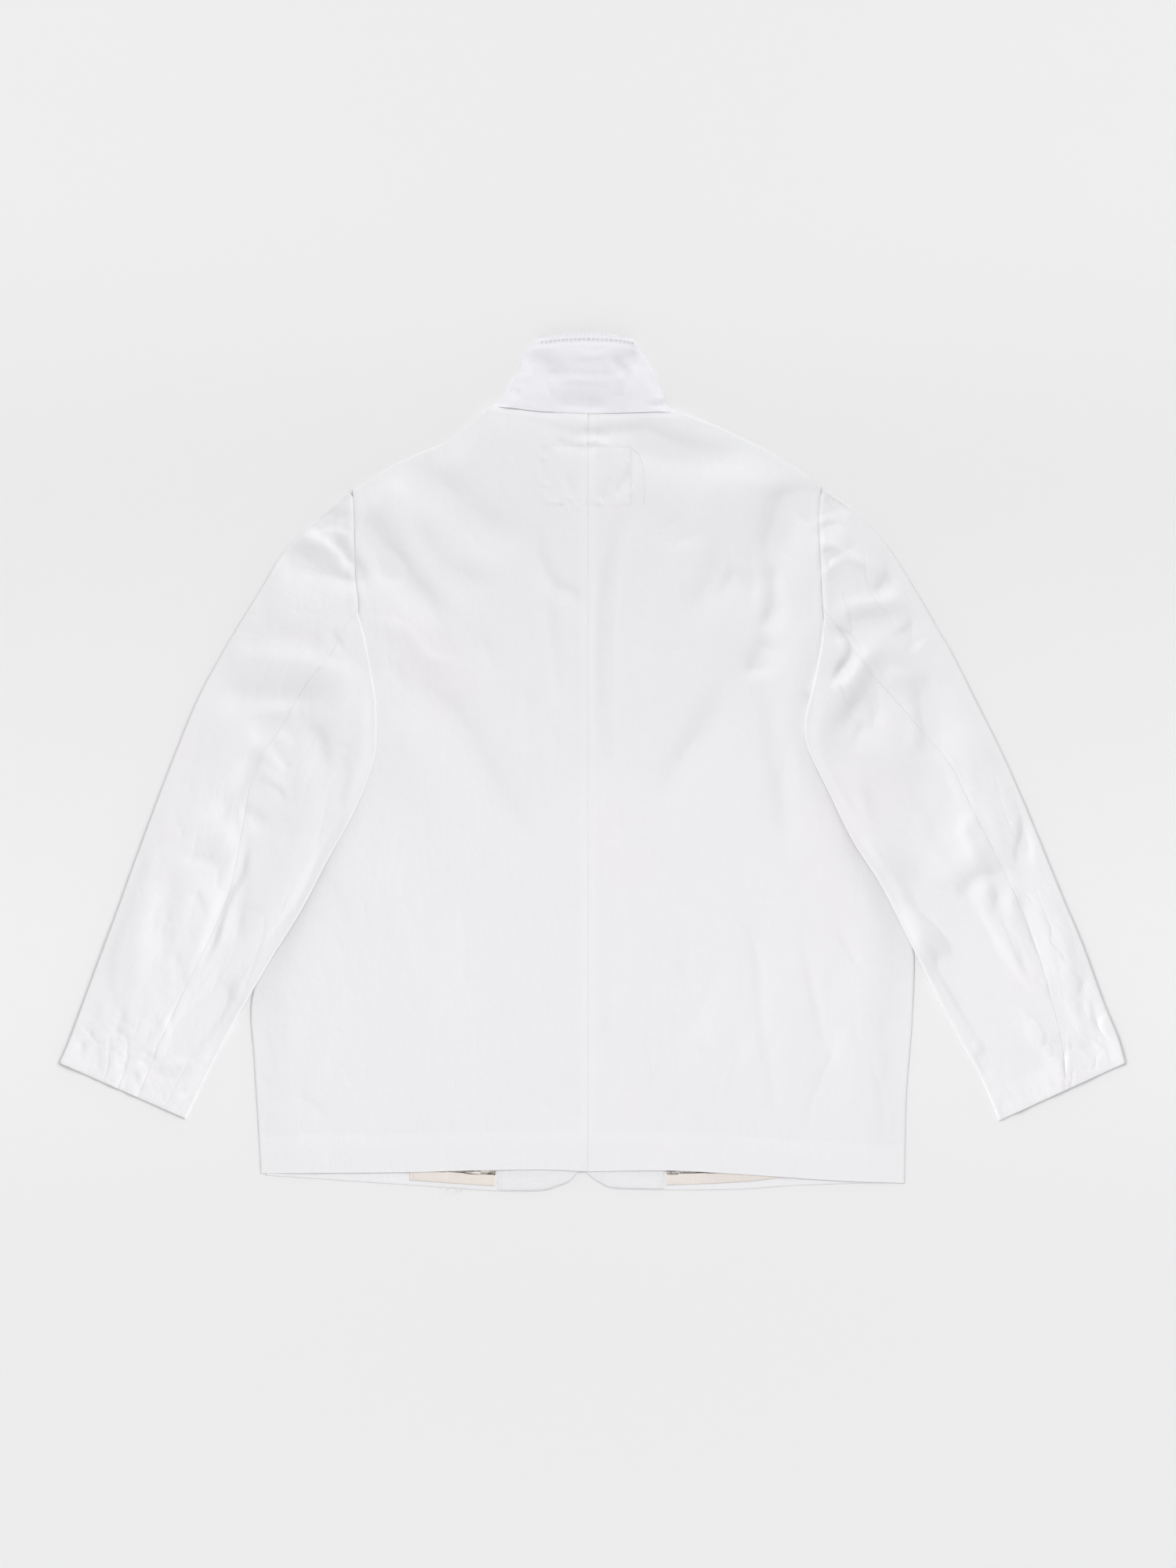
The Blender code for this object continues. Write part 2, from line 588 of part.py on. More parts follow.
def sleeve_row(hand, piece, place, outer, inner, seam, over, share_down):
    width = (inner - outer).length
    across = (inner - outer) / width
    own_width = width if piece == "top" else width * (1 - seam)
    radius = min(SLEEVE_ROLL, MOST_ROLL_SHARE * own_width)
    thickness = SLEEVE_THICKNESS + (CUFF_THICKNESS - SLEEVE_THICKNESS) * smooth_step(4 * share_down - 3)
    body_at = distance_to_body(hand, inner, outer)
    is_open = place <= LAST_OPEN_STATION

    def lower(spot):
        return under_sleeve_height(hand, spot, LOWER_CLIMB, LOWER_LEAD)

    def upper(spot, from_outer):
        if is_open or place < UNDERARM_STATION:
            joined = back_top(inner.x, inner.y) + over * (SLEEVE_REST + thickness)
            own = thickness + ARMHOLE_PUFF
            level = own + (joined - own) * smooth_step(from_outer / width)
        else:
            level = under_sleeve_height(hand, spot, UPPER_CLIMB, UPPER_LEAD) + thickness
        folds = fold_height(spot.x, spot.y, SLEEVE_FOLDS[hand])
        to_inner = width - from_outer + (OPEN_FOLD_LEAD if is_open else 0)
        folds *= smooth_step(from_outer / OUTER_FOLD_FADE) * smooth_step(to_inner / INNER_FOLD_FADE)
        folds *= smooth_step(5 * (1 - share_down) + 0.35)
        return max(lower(spot) + SLEEVE_LEAST, level + folds)

    def upper_point(from_outer):
        spot = outer + across * from_outer
        return Vector((spot.x, spot.y, upper(spot, from_outer)))

    def lower_point(from_outer):
        spot = outer + across * from_outer
        return Vector((spot.x, spot.y, lower(spot)))

    def roll_point(edge_at, direction, angle):
        """A point of the rolled edge: 90 degrees is its top, -90 its underside."""
        from_outer = edge_at + direction * radius * (1 - math.cos(math.radians(angle)))
        high = upper_point(edge_at + direction * radius).z
        low = lower_point(edge_at + direction * radius).z
        spot = outer + across * from_outer
        middle, half = (high + low) / 2, (high - low) / 2
        return Vector((spot.x, spot.y, middle + half * math.sin(math.radians(angle))))

    def table_point(from_outer):
        spot = outer + across * from_outer
        return Vector((spot.x, spot.y, 0))

    start = seam * width
    into_under_sleeve = smooth_step((place - LAST_OPEN_STATION) / (UNDERARM_STATION - LAST_OPEN_STATION))
    forearm = width * (1 - (1 - FOREARM_SEAM) * into_under_sleeve)
    returned = max(radius + ROLL_CLEARANCE, body_at)
    forearm = min(forearm, width - returned - FOREARM_CLEARANCE)
    points = []
    if piece == "top":
        start -= SEAM_GAP / 2
        spread = [start, start - min(SEAM_STEP, 0.1 * start)]
        spread += [start + (radius - start) * step / 6 for step in range(1, 6)]
        points += [upper_point(at) for at in spread]
        points += [roll_point(0, 1, angle) for angle in TUBE_ANGLES]
        end = forearm - SEAM_GAP / 2
        if is_open:
            end = width - body_at - SEAM_GAP
        points += [table_point(radius + (end - radius) * step / 3) for step in range(1, 4)]
        return points
    start += SEAM_GAP / 2
    spread = [start, start + min(SEAM_STEP, 0.1 * (width - start))]
    spread += [start + (width - radius - start) * step / 5 for step in range(1, 5)]
    points += [upper_point(at) for at in spread]
    points += [roll_point(width, -1, angle) for angle in TUBE_ANGLES]
    return_end = width - returned
    floor_start = return_end - (SEAM_GAP if place < UNDERARM_STATION else STEP_DOWN)
    end = forearm + SEAM_GAP / 2
    points += [lower_point((width - radius + return_end) / 2), lower_point(return_end)]
    points += [table_point(floor_start + (end - floor_start) * step / 2) for step in range(3)]
    return points


def sleeve_piece(hand, piece, material):
    rows = sleeve_rows(hand, piece)
    cuff = SLEEVE[hand][-1]
    cuff_corner = Vector((cuff.outer_x, cuff.outer_y, 0))
    along_cuff = (Vector((cuff.inner_x, cuff.inner_y, 0)) - cuff_corner).normalized()

    def turned(at):
        """1 in the turned hem, 0 above it."""
        flat = Vector((at.x, at.y, 0)) - cuff_corner
        off_cuff = (flat - along_cuff * flat.dot(along_cuff)).length
        return smooth_step((CUFF_DEPTH - off_cuff) / TURN_STEP)

    def armhole(row, column):
        """The stretches that are left open, where the sleeve is sewn into the armhole."""
        above_underarm = row < round((UNDERARM_STATION - UNDER_SLEEVE_START) * STEPS_PER_STATION)
        return piece == "under" and above_underarm and column == UNDER_STEP_COLUMN

    name = f"sleeve_{hand}_{piece}"
    return sheet(name, rows, material, double=turned, missing=armhole)


def collar_layer(name, offset, wall, material):
    """One layer of the turned-up collar: its back stretch, rolled sides and returns."""
    rows = []
    last = len(COLLAR) - 1
    for step in range(COLLAR_ROWS + 1):
        share_up = max(step / COLLAR_ROWS, TOP_COLLAR_LIFT * offset)
        station = between(COLLAR, share_up * last)
        below = between(COLLAR, max(0, share_up * last - 0.5))
        above = between(COLLAR, min(last, share_up * last + 0.5))
        left_slant = (above.left_x - below.left_x) / (above.left_y - below.left_y)
        right_slant = (above.right_x - below.right_x) / (above.right_y - below.right_y)
        left = Vector((station.left_x + offset * math.hypot(1, left_slant), station.left_y, 0))
        right = Vector((station.right_x - offset * math.hypot(1, right_slant), station.right_y, 0))
        rows.append(collar_row(left, right, offset, share_up))
    return sheet(name, rows, material, wall)


def neck_y(x):
    """The neck seam's place up the plan, at a distance across."""
    points = CONTOUR["left"]["neck"][::-1] + CONTOUR["right"]["neck"]
    for (x0, y0), (x1, y1) in zip(points, points[1:]):
        if x <= x1:
            return y0 + (y1 - y0) * max(0.0, (x - x0) / (x1 - x0))
    return points[-1][1]


def collar_row(left, right, offset, share_up):
    low = offset
    high = COLLAR_THICKNESS - COLLAR_THINNING * share_up - offset
    radius = SLEEVE_ROLL - offset
    seam_pull = 1 - smooth_step(2.5 * share_up)

    def spot(share, height):
        place = left.lerp(right, share)
        crown = 4 * share * (1 - share) * COLLAR_CROWN * share_up
        corner_gap = COLLAR_CORNER_GAP * (2 * share - 1) ** 4
        on_seam = neck_y(place.x) + SEAM_GAP + corner_gap - place.y
        return Vector((place.x, place.y + crown + seam_pull * on_seam, height))

    width = (right - left).length
    edge = radius / width
    points = []
    returned = COLLAR_RETURN / width
    middle, half = (high + low) / 2, (high - low) / 2
    for step in range(3):
        points.append(spot(returned + (edge - returned) * step / 3, low))
    for angle in (-90, -45, 0, 45):
        turn = math.radians(angle)
        points.append(spot(edge * (1 - math.cos(turn)), middle + half * math.sin(turn)))
    for step in range(COLLAR_COLUMNS + 1):
        points.append(spot(edge + (1 - 2 * edge) * step / COLLAR_COLUMNS, high))
    for angle in (45, 0, -45, -90):
        turn = math.radians(angle)
        points.append(spot(1 - edge * (1 - math.cos(turn)), middle + half * math.sin(turn)))
    for step in range(1, 4):
        points.append(spot(1 - edge - (returned - edge) * step / 3, low))
    return points


def cloth_material(name):
    finish = FINISHES[name]
    material = bpy.data.materials.new(name)
    material.use_nodes = True
    shader = material.node_tree.nodes["Principled BSDF"]
    shader.inputs["Base Color"].default_value = (*finish.colour, 1)
    shader.inputs["Roughness"].default_value = finish.roughness
    shader.inputs["Sheen Weight"].default_value = finish.sheen
    shader.inputs["Metallic"].default_value = 0
    return material


def move_to_origin(pieces):
    """Moves every piece so that the middle of the garment's box stands over the origin."""
    bpy.context.view_layer.update()
    graph = bpy.context.evaluated_depsgraph_get()
    corners = []
    for piece in pieces:
        corners += [Vector(corner) for corner in piece.evaluated_get(graph).bound_box]
    low = Vector([min(corner[axis] for corner in corners) for axis in range(3)])
    high = Vector([max(corner[axis] for corner in corners) for axis in range(3)])
    shift = Vector((-(low.x + high.x) / 2, -(low.y + high.y) / 2, -low.z))
    for piece in pieces:
        for vertex in piece.data.vertices:
            vertex.co += shift


def main():
    for item in list(bpy.data.objects):
        bpy.data.objects.remove(item, do_unlink=True)
    materials = {name: cloth_material(name) for name in FINISHES}
    jacket = bpy.data.collections.new("suit_jacket")
    bpy.context.scene.collection.children.link(jacket)
    pieces = []
    for hand in ("left", "right"):
        pieces.append(front_panel(hand, materials["jacket_cotton"]))
        pieces.append(facing(hand, materials["facing_cotton"]))
        pieces.append(pocket_bag(hand, materials["pocketing"]))
        pieces.append(back_panel(hand, materials["jacket_cotton"]))
        for piece in ("top", "under"):
            pieces.append(sleeve_piece(hand, piece, materials["jacket_cotton"]))
    pieces.append(collar_layer("collar_under", 0, CLOTH, materials["collar_cotton"]))
    pieces.append(collar_layer("collar_top", CLOTH + LAYER_GAP, FACING_CLOTH, materials["collar_cotton"]))
    for piece in pieces:
        jacket.objects.link(piece)
    move_to_origin(pieces)


main()
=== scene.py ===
"""The looks of a white cotton suit jacket that lies flat on a pale floor, back up, with its
collar turned up, seen from straight above.

Cloth is laid out in the garment's own plan, in millimetres: x runs across from the centre back
seam, y runs up from the neck seam towards the collar, and z is the height over the floor. Each
finished piece is moved into the frame as it is made.
"""
import math
from collections import namedtuple

import bpy
import numpy as np
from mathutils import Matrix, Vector


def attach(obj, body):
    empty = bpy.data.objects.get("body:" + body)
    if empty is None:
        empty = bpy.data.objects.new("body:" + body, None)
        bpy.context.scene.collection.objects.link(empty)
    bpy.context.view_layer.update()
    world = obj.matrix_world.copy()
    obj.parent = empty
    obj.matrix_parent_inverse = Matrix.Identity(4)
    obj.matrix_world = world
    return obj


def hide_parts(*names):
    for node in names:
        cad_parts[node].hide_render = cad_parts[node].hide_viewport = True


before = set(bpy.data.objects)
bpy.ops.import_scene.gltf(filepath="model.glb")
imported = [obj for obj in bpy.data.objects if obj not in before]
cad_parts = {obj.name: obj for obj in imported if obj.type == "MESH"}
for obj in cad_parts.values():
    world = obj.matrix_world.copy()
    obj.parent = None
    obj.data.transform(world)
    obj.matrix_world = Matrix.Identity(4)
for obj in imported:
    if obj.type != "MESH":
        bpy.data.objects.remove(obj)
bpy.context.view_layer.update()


def listed(kind, *rows):
    """A table's rows under the names of its columns."""
    return tuple(kind(*row) for row in rows)


MM = 0.001
PLAN_TO_FRAME = np.array((-4.5, 354.6, 0.0))

# Camera and floor, in metres
VIEW_HEIGHT = 3.2
VIEW_LENGTH = 1.6
VIEW_CENTRE = (-0.0045, -0.0222)
SENSOR = 36.0
FLOOR_SIZE = 8
FLOOR_TONE = 0.858

# Cloth walls and heights of the outer surfaces over the floor
CLOTH = 0.6
TABLE_CLOTH = 0.85
FACING_TOP = 1.75
BACK_AT_HEM = 4.0
BACK_AIR = 6.8
BACK_LOWEST = 3.2
BACK_SOFTNESS = 1.2
SLEEVE_SOFTNESS = 0.4
SLEEVE_WALLS = 1.3
CUFF_WALLS = 2.0
SLEEVE_REST = 1.6
SLEEVE_REST_AT_ARMHOLE = 0.4
SLEEVE_THICKNESS = 8.8
CUFF_THICKNESS = 3.6
SLEEVE_LEAST = 2.4
ARMHOLE_PUFF = 1.5

# Folded edges, hems and seams
EDGE_ROLL = 2.4
EDGE_FOOT = 0.6
EDGE_TAPER = 40.0
SLEEVE_INNER_TAPER = 17.0
SLEEVE_OUTER_TAPER = {"left": 48.0, "right": 130.0}
BODY_EDGE_SHARE = 0.46
SLEEVE_EDGE = 3.0
SLEEVE_OUTER_EDGE = 4.0
SLEEVE_ROLL = 2.6
COLLAR_ROLL = 4.0
COLLAR_EDGE = 4.6
HEM_EDGE = 2.4
HEM_EDGE_OVER_STRIPS = 3.0
HEM_PLIES = 1.7
TURN_HEIGHTS = (0.45, 0.15)
TURN_DROPS = (0.8, 1.8)
TURN_WIDTH = 1.5
NECK_DIP = 1.0
HEM_DEPTH = 40.0
CUFF_DEPTH = 32.0
FRONT_INSET = 5.5
SEAM_GAP = 0.06
SEAM_GROOVE = 0.35
SEAM_GROOVE_WIDTH = 1.6
NECK_DIP_WIDTH = 16
ALLOWANCE = 8.0
ALLOWANCE_PLIES = 0.22
NECK_RIDGE = 0.8
ARMHOLE_RIDGE = 0.5
RIDGE_OFFSET = 6
SLEEVE_HEAD = 1.1
LABEL_RIPPLE = 0.8
LABEL_FURROW = 0.5
LABEL_PLIES = 0.12

# Grid of the cloth
NECK_SHARE = 6 / 13
BACK_COLUMNS = 118
BACK_ROWS = 292
BACK_WIDTH = 285.0
BACK_LENGTH = 776.0
FRONT_COLUMNS = 62
FRONT_WIDTH = 320.0
FRONT_LENGTH = 780
STRIP_COLUMNS = 40
SLEEVE_ROWS = 286
SLEEVE_STATION_PITCH = 43.0
TOP_SLEEVE_COLUMNS = 74
UNDER_SLEEVE_COLUMNS = 60
EDGE_STEPS = np.array((0.0, 0.5, 1.2, 2.2, 3.6, 5.4, 7.4, 9.6))

# Outlines of the back and the fronts in the plan
CONTOUR = {
    "left": {
        "neck": ((-0.03, 0), (-32, 1.5), (-56, 3), (-80, 6), (-100, 9)),
        "shoulder": ((-100, 9), (-120, -9), (-148, -29), (-196, -49), (-240, -77)),
        "armhole": ((-240, -77), (-238, -110), (-237, -165), (-233, -200), (-238, -255), (-250, -300)),
        "side": ((-250, -300), (-276, -390), (-305, -480), (-330, -555), (-344, -600), (-341, -657),
                 (-336, -737), (-334, -774)),
        "hem": ((-0.03, -772), (-48, -770), (-120, -771), (-200, -773), (-334, -774)),
        "front_edge": ((-58, -14), (-20, -95), (-7.5, -180), (-7.5, -480), (-7.5, -768)),
        "front_hem": ((-7.5, -768), (-18, -782), (-32, -788), (-48, -792), (-92, -792), (-180, -786),
                      (-240, -782), (-328.5, -776)),
    },
    "right": {
        "neck": ((0.03, 0), (40, 1), (70, 2), (96, 2)),
        "shoulder": ((96, 2), (136, -13), (184, -37), (224, -62), (238, -74)),
        "armhole": ((238, -74), (235, -105), (237, -165), (239, -215), (236, -257), (245, -300)),
        "side": ((245, -300), (274, -385), (303, -465), (325, -520), (333, -552), (331, -617),
                 (328, -657), (325, -697), (323, -784)),
        "hem": ((0.03, -772), (80, -771), (160, -775), (248, -781), (323, -784)),
        "front_edge": ((54, -16), (18, -95), (-4.5, -180), (-4.5, -480), (-4.5, -770)),
        "front_hem": ((-4.5, -770), (4, -779), (16, -786), (32, -790), (104, -791), (160, -790),
                      (200, -787), (248, -785), (317.5, -783)),
    },
}

# The flattened sleeves from head to cuff: their two folded edges, the place of the elbow seam as
# a share of the width from the outer edge, and how far the sleeve lies over the body
SleeveStation = namedtuple("SleeveStation", "outer_x outer_y inner_x inner_y seam over")
SLEEVE = {
    "left": listed(
        SleeveStation,
        (-245, -80, -240, -84, 1.00, 0.0),
        (-265, -97, -238.5, -107, 1.00, 0.0),
        (-292, -120, -238, -135, 1.00, 0.0),
        (-314, -145, -237.5, -165, 1.00, 0.0),
        (-328, -169, -234, -195, 1.00, 0.0),
        (-343, -194, -227, -228, 0.80, 0.20),
        (-357, -216, -220, -265, 0.68, 0.30),
        (-371, -240, -215, -300, 0.55, 0.45),
        (-397, -288, -217, -352, 0.47, 0.65),
        (-419, -341, -238, -406, 0.43, 0.85),
        (-439, -393, -265, -455, 0.50, 1.0),
        (-459, -447, -292, -506, 0.57, 1.0),
        (-478, -500, -322, -554, 0.60, 1.0),
        (-498, -554, -351, -604, 0.60, 1.0),
        (-518, -608, -378, -653, 0.60, 1.0),
        (-530, -640, -396, -689, 0.61, 1.0),
        (-539, -661, -410, -718, 0.62, 1.0),
    ),
    "right": listed(
        SleeveStation,
        (244, -78, 239.5, -82, 1.00, 0.0),
        (267, -94, 236, -108, 1.00, 0.0),
        (288, -113, 236, -135, 1.00, 0.0),
        (308, -138, 237.5, -165, 1.00, 0.0),
        (326, -166, 239, -196, 1.00, 0.0),
        (343, -195, 237, -232, 0.78, 0.20),
        (358, -221, 231, -266, 0.64, 0.35),
        (374, -249, 221, -308, 0.48, 0.55),
        (398, -297, 222, -337, 0.38, 0.75),
        (421, -343, 245, -386, 0.30, 0.90),
        (443, -392, 270, -436, 0.29, 1.0),
        (464, -443, 297, -478, 0.28, 1.0),
        (484, -492, 322, -526, 0.27, 1.0),
        (505, -542, 346, -575, 0.29, 1.0),
        (525, -597, 375, -630, 0.33, 1.0),
        (541, -636, 401, -677, 0.40, 1.0),
        (548, -661, 419, -720, 0.48, 1.0),
    ),
}
LAST_OPEN_STATION = 4
ARMHOLE_STATION = 4.6
LOOSE_STATION = 5.5
UNDER_SLEEVE_START = 4.04
UNDERARM_STATION = 7
FOREARM_SEAM = 0.56
STEP_DOWN = 20.0

# A soft dome all round, and two lamps: one beyond the collar for the shoulders and one over the
# lower back for the rest. Over a stretch of the plan the one gives way to the other.
DOME_LEVEL = 0.35
HORIZON_LEVEL = 1.5
HORIZON_POWER = 3.0
BACKDROP_LEVEL = 0.85
LEAST_SLANT = 0.2
LAMP_HEIGHT = 0.70
LAMP_RADIUS = 0.38
UPPER_LAMP = (0.0, 340.0)
LOWER_LAMP = (0.0, -450.0)
LAMPS_MEET = (-480.0, -120.0)
Lamp = namedtuple("Lamp", "place dark_at bright_at strength")
LAMPS = {
    "lamp_over_the_lower_back": Lamp(LOWER_LAMP, LAMPS_MEET[1], LAMPS_MEET[0], 19.6),
    "lamp_beyond_the_collar": Lamp(UPPER_LAMP, LAMPS_MEET[0], LAMPS_MEET[1], 20.7),
}

# How a crease's line becomes a fold: its bottom or crest lies FLANK widths from the flank that
# the line follows, its other flank is gentler, broad folds run out more softly than thin ones,
# and every fold fades towards its ends
FLANK = 0.7
FAR_FLANK = 0.9
SOFT_SPREAD = 0.3
CREASE_REACH = 4.2
CREASE_FADE = 0.3
CREASE_END = 0.12

# How much deeper than in their tables creases are: on the back right of its seam, on each
# sleeve at its top and at its cuff, and on the collar
RIGHT_BACK_DEPTH = 1.55
SLEEVE_DEPTH = {"left": (1.3, 1.05), "right": (1.2, 1.5)}
COLLAR_DEPTH = 1.12

# Creases: a line in the plan, how wide each flank is and how deep the trough
# (under 0) or how high the ridge
Crease = namedtuple("Crease", "line width depth")
BODY_CREASES = listed(
    Crease,
    # Upper left, running from the shoulder towards the middle
    (((-216, -57), (-176, -55), (-144, -69), (-112, -101), (-80, -117), (-60, -137)), 13, -7.0),
    (((-180, -101), (-156, -137), (-136, -157), (-88, -177)), 10, -4.3),
    (((-232, -101), (-212, -121), (-196, -149), (-182, -174)), 11, -8.4),
    (((-206, -134), (-180, -165), (-160, -190), (-148, -222)), 9, -7.0),
    (((-256, -129), (-236, -162), (-220, -176)), 7, -3.7),
    (((-228, -207), (-196, -213), (-180, -221), (-160, -245), (-124, -253)), 5, 1.6),
    (((-192, -237), (-168, -273), (-140, -297), (-120, -325), (-98, -369),
      (-76, -409), (-46, -449)), 11, -4.7),
    (((-196, -249), (-188, -281)), 6, -1.2),
    (((-112, -221), (-98, -249), (-94, -273)), 5, -1.2),
    (((-226, -100), (-208, -82), (-194, -62)), 9, 2.5),
    (((-176, -300), (-170, -360), (-160, -400)), 10, 1.3),
    # Beside the centre back seam
    (((-52, -114), (-44, -150), (-32, -172), (-12, -184), (-8, -217)), 6, -4.1),
    (((-38, -177), (-36, -217), (-31, -262), (-30, -300)), 6, -4.1),
    (((-56, -277), (-60, -313), (-60, -349)), 6, -2.2),
    (((46, -93), (32, -113), (23, -145), (18, -185), (16, -233), (16, -281), (17, -329),
      (19, -369), (22, -425)), 7, -8.5),
    (((28, -370), (30, -400), (31, -440)), 4, -1.3),
    # Under the neck and over the label
    (((16, -14), (56, -20), (96, -32), (136, -37), (170, -44)), 11, -7.0),
    (((-50, -9), (-8, -18), (24, -15), (64, -14)), 5, -3.2),
    (((-36, -22), (-20, -30), (4, -32), (14, -24)), 3.5, -2.4),
    (((-12, -13), (10, -18), (26, -19)), 3.5, -2.6),
    (((-8, -25), (8, -25), (22, -28)), 3.5, 1.6),
    (((42, -40), (41, -60), (40, -88)), 3.5, -2.0),
    (((40, -54), (32, -72), (27, -88)), 4, -2.4),
    (((22, -62), (17, -78), (14, -92)), 3.5, -1.8),
    (((-22, -62), (-16, -78), (-17, -88)), 3.5, -1.6),
    (((4, -36), (6, -62), (2, -90)), 6, 1.5),
    # Right shoulder and armhole
    (((256, -93), (232, -85), (200, -84), (192, -104), (184, -130), (166, -141)), 11, -7.7),
    (((184, -149), (188, -177), (184, -203), (170, -222)), 6, -3.7),
    (((184, -225), (169, -251), (170, -273)), 8, -4.1),
    (((176, -273), (184, -321), (193, -377), (200, -425), (206, -465)), 7, -3.1),
    (((208, -190), (210, -250), (208, -330)), 16, 2.3),
    (((138, -269), (122, -305), (106, -331), (90, -355), (76, -380), (70, -417)), 10, -3.8),
    (((136, -125), (128, -153), (112, -185), (96, -217)), 8, -2.6),
    (((136, -158), (156, -168), (178, -172)), 9, -2.6),
    (((84, -101), (96, -122), (100, -140)), 10, -1.6),
    (((110, -60), (160, -68), (200, -66)), 14, 2.3),
    # Lower back
    (((124, -481), (144, -513), (164, -533), (172, -569), (174, -609), (180, -649),
            (188, -689), (198, -729)), 4.5, -1.6),
    (((216, -521), (222, -561), (232, -609), (240, -641), (252, -665)), 4, -1.4),
    (((248, -505), (260, -537), (280, -569)), 4, -1.1),
    (((92, -521), (96, -569), (112, -617), (124, -649)), 6, -2.2),
    (((12, -537), (16, -585), (18, -625), (24, -665), (28, -713)), 7, -3.7),
    (((48, -600), (52, -650), (60, -690)), 4, -0.8),
    (((112, -640), (124, -664), (134, -676)), 4, -1.0),
    (((64, -665), (76, -690), (84, -705)), 3.5, -0.8),
    (((-24, -671), (-18, -700), (-16, -735)), 8, -2.6),
    (((-44, -690), (-38, -716), (-40, -736)), 6, -1.5),
    (((-270, -460), (-250, -500), (-246, -540)), 6, -0.8),
    (((-186, -478), (-178, -510), (-170, -560)), 5, -0.5),
    (((-130, -490), (-126, -530), (-124, -580)), 6, -0.7),
    (((-210, -420), (-180, -520), (-150, -660)), 26, 2.3),
    (((-96, -560), (-92, -620), (-98, -690)), 12, -1.6),
    (((64, -440), (84, -480), (92, -520)), 8, -1.3),
    (((150, -440), (160, -480), (176, -510)), 5, -0.7),
    (((-331, -622), (-322, -650), (-318, -680)), 3.5, -0.8),
    (((-333, -668), (-327, -682), (-332, -696)), 3, -1.0),
    (((-322, -586), (-312, -620), (-308, -660)), 5, -0.6),
    (((-300, -690), (-282, -700), (-262, -716)), 4, -0.7),
    (((300, -600), (306, -650), (310, -700)), 7, -1.0),
)

ARMHOLE_CREASES = {
    "left": listed(
        Crease,
        (((-290, -121), (-272, -107), (-250, -103), (-234, -110)), 8, -6.4),
        (((-276, -119), (-256, -118), (-238, -126)), 4, 2.3),
        (((-264, -125), (-248, -141), (-236, -156), (-220, -174)), 9, -7.0),
        (((-296, -122), (-272, -128), (-256, -140), (-248, -152), (-244, -168)), 5, 3.8),
        (((-322, -142), (-296, -142), (-272, -152), (-250, -163)), 10, -7.0),
    ),
    "right": listed(
        Crease,
        (((270, -102), (252, -92), (236, -88), (204, -84)), 9, -5.8),
        (((268, -112), (250, -111), (236, -116), (220, -130)), 6, -4.3),
        (((228, -128), (248, -133), (264, -143), (280, -151), (294, -160)), 4.5, 3.2),
        (((236, -169), (244, -157), (257, -146)), 4, 2.6),
    ),
}

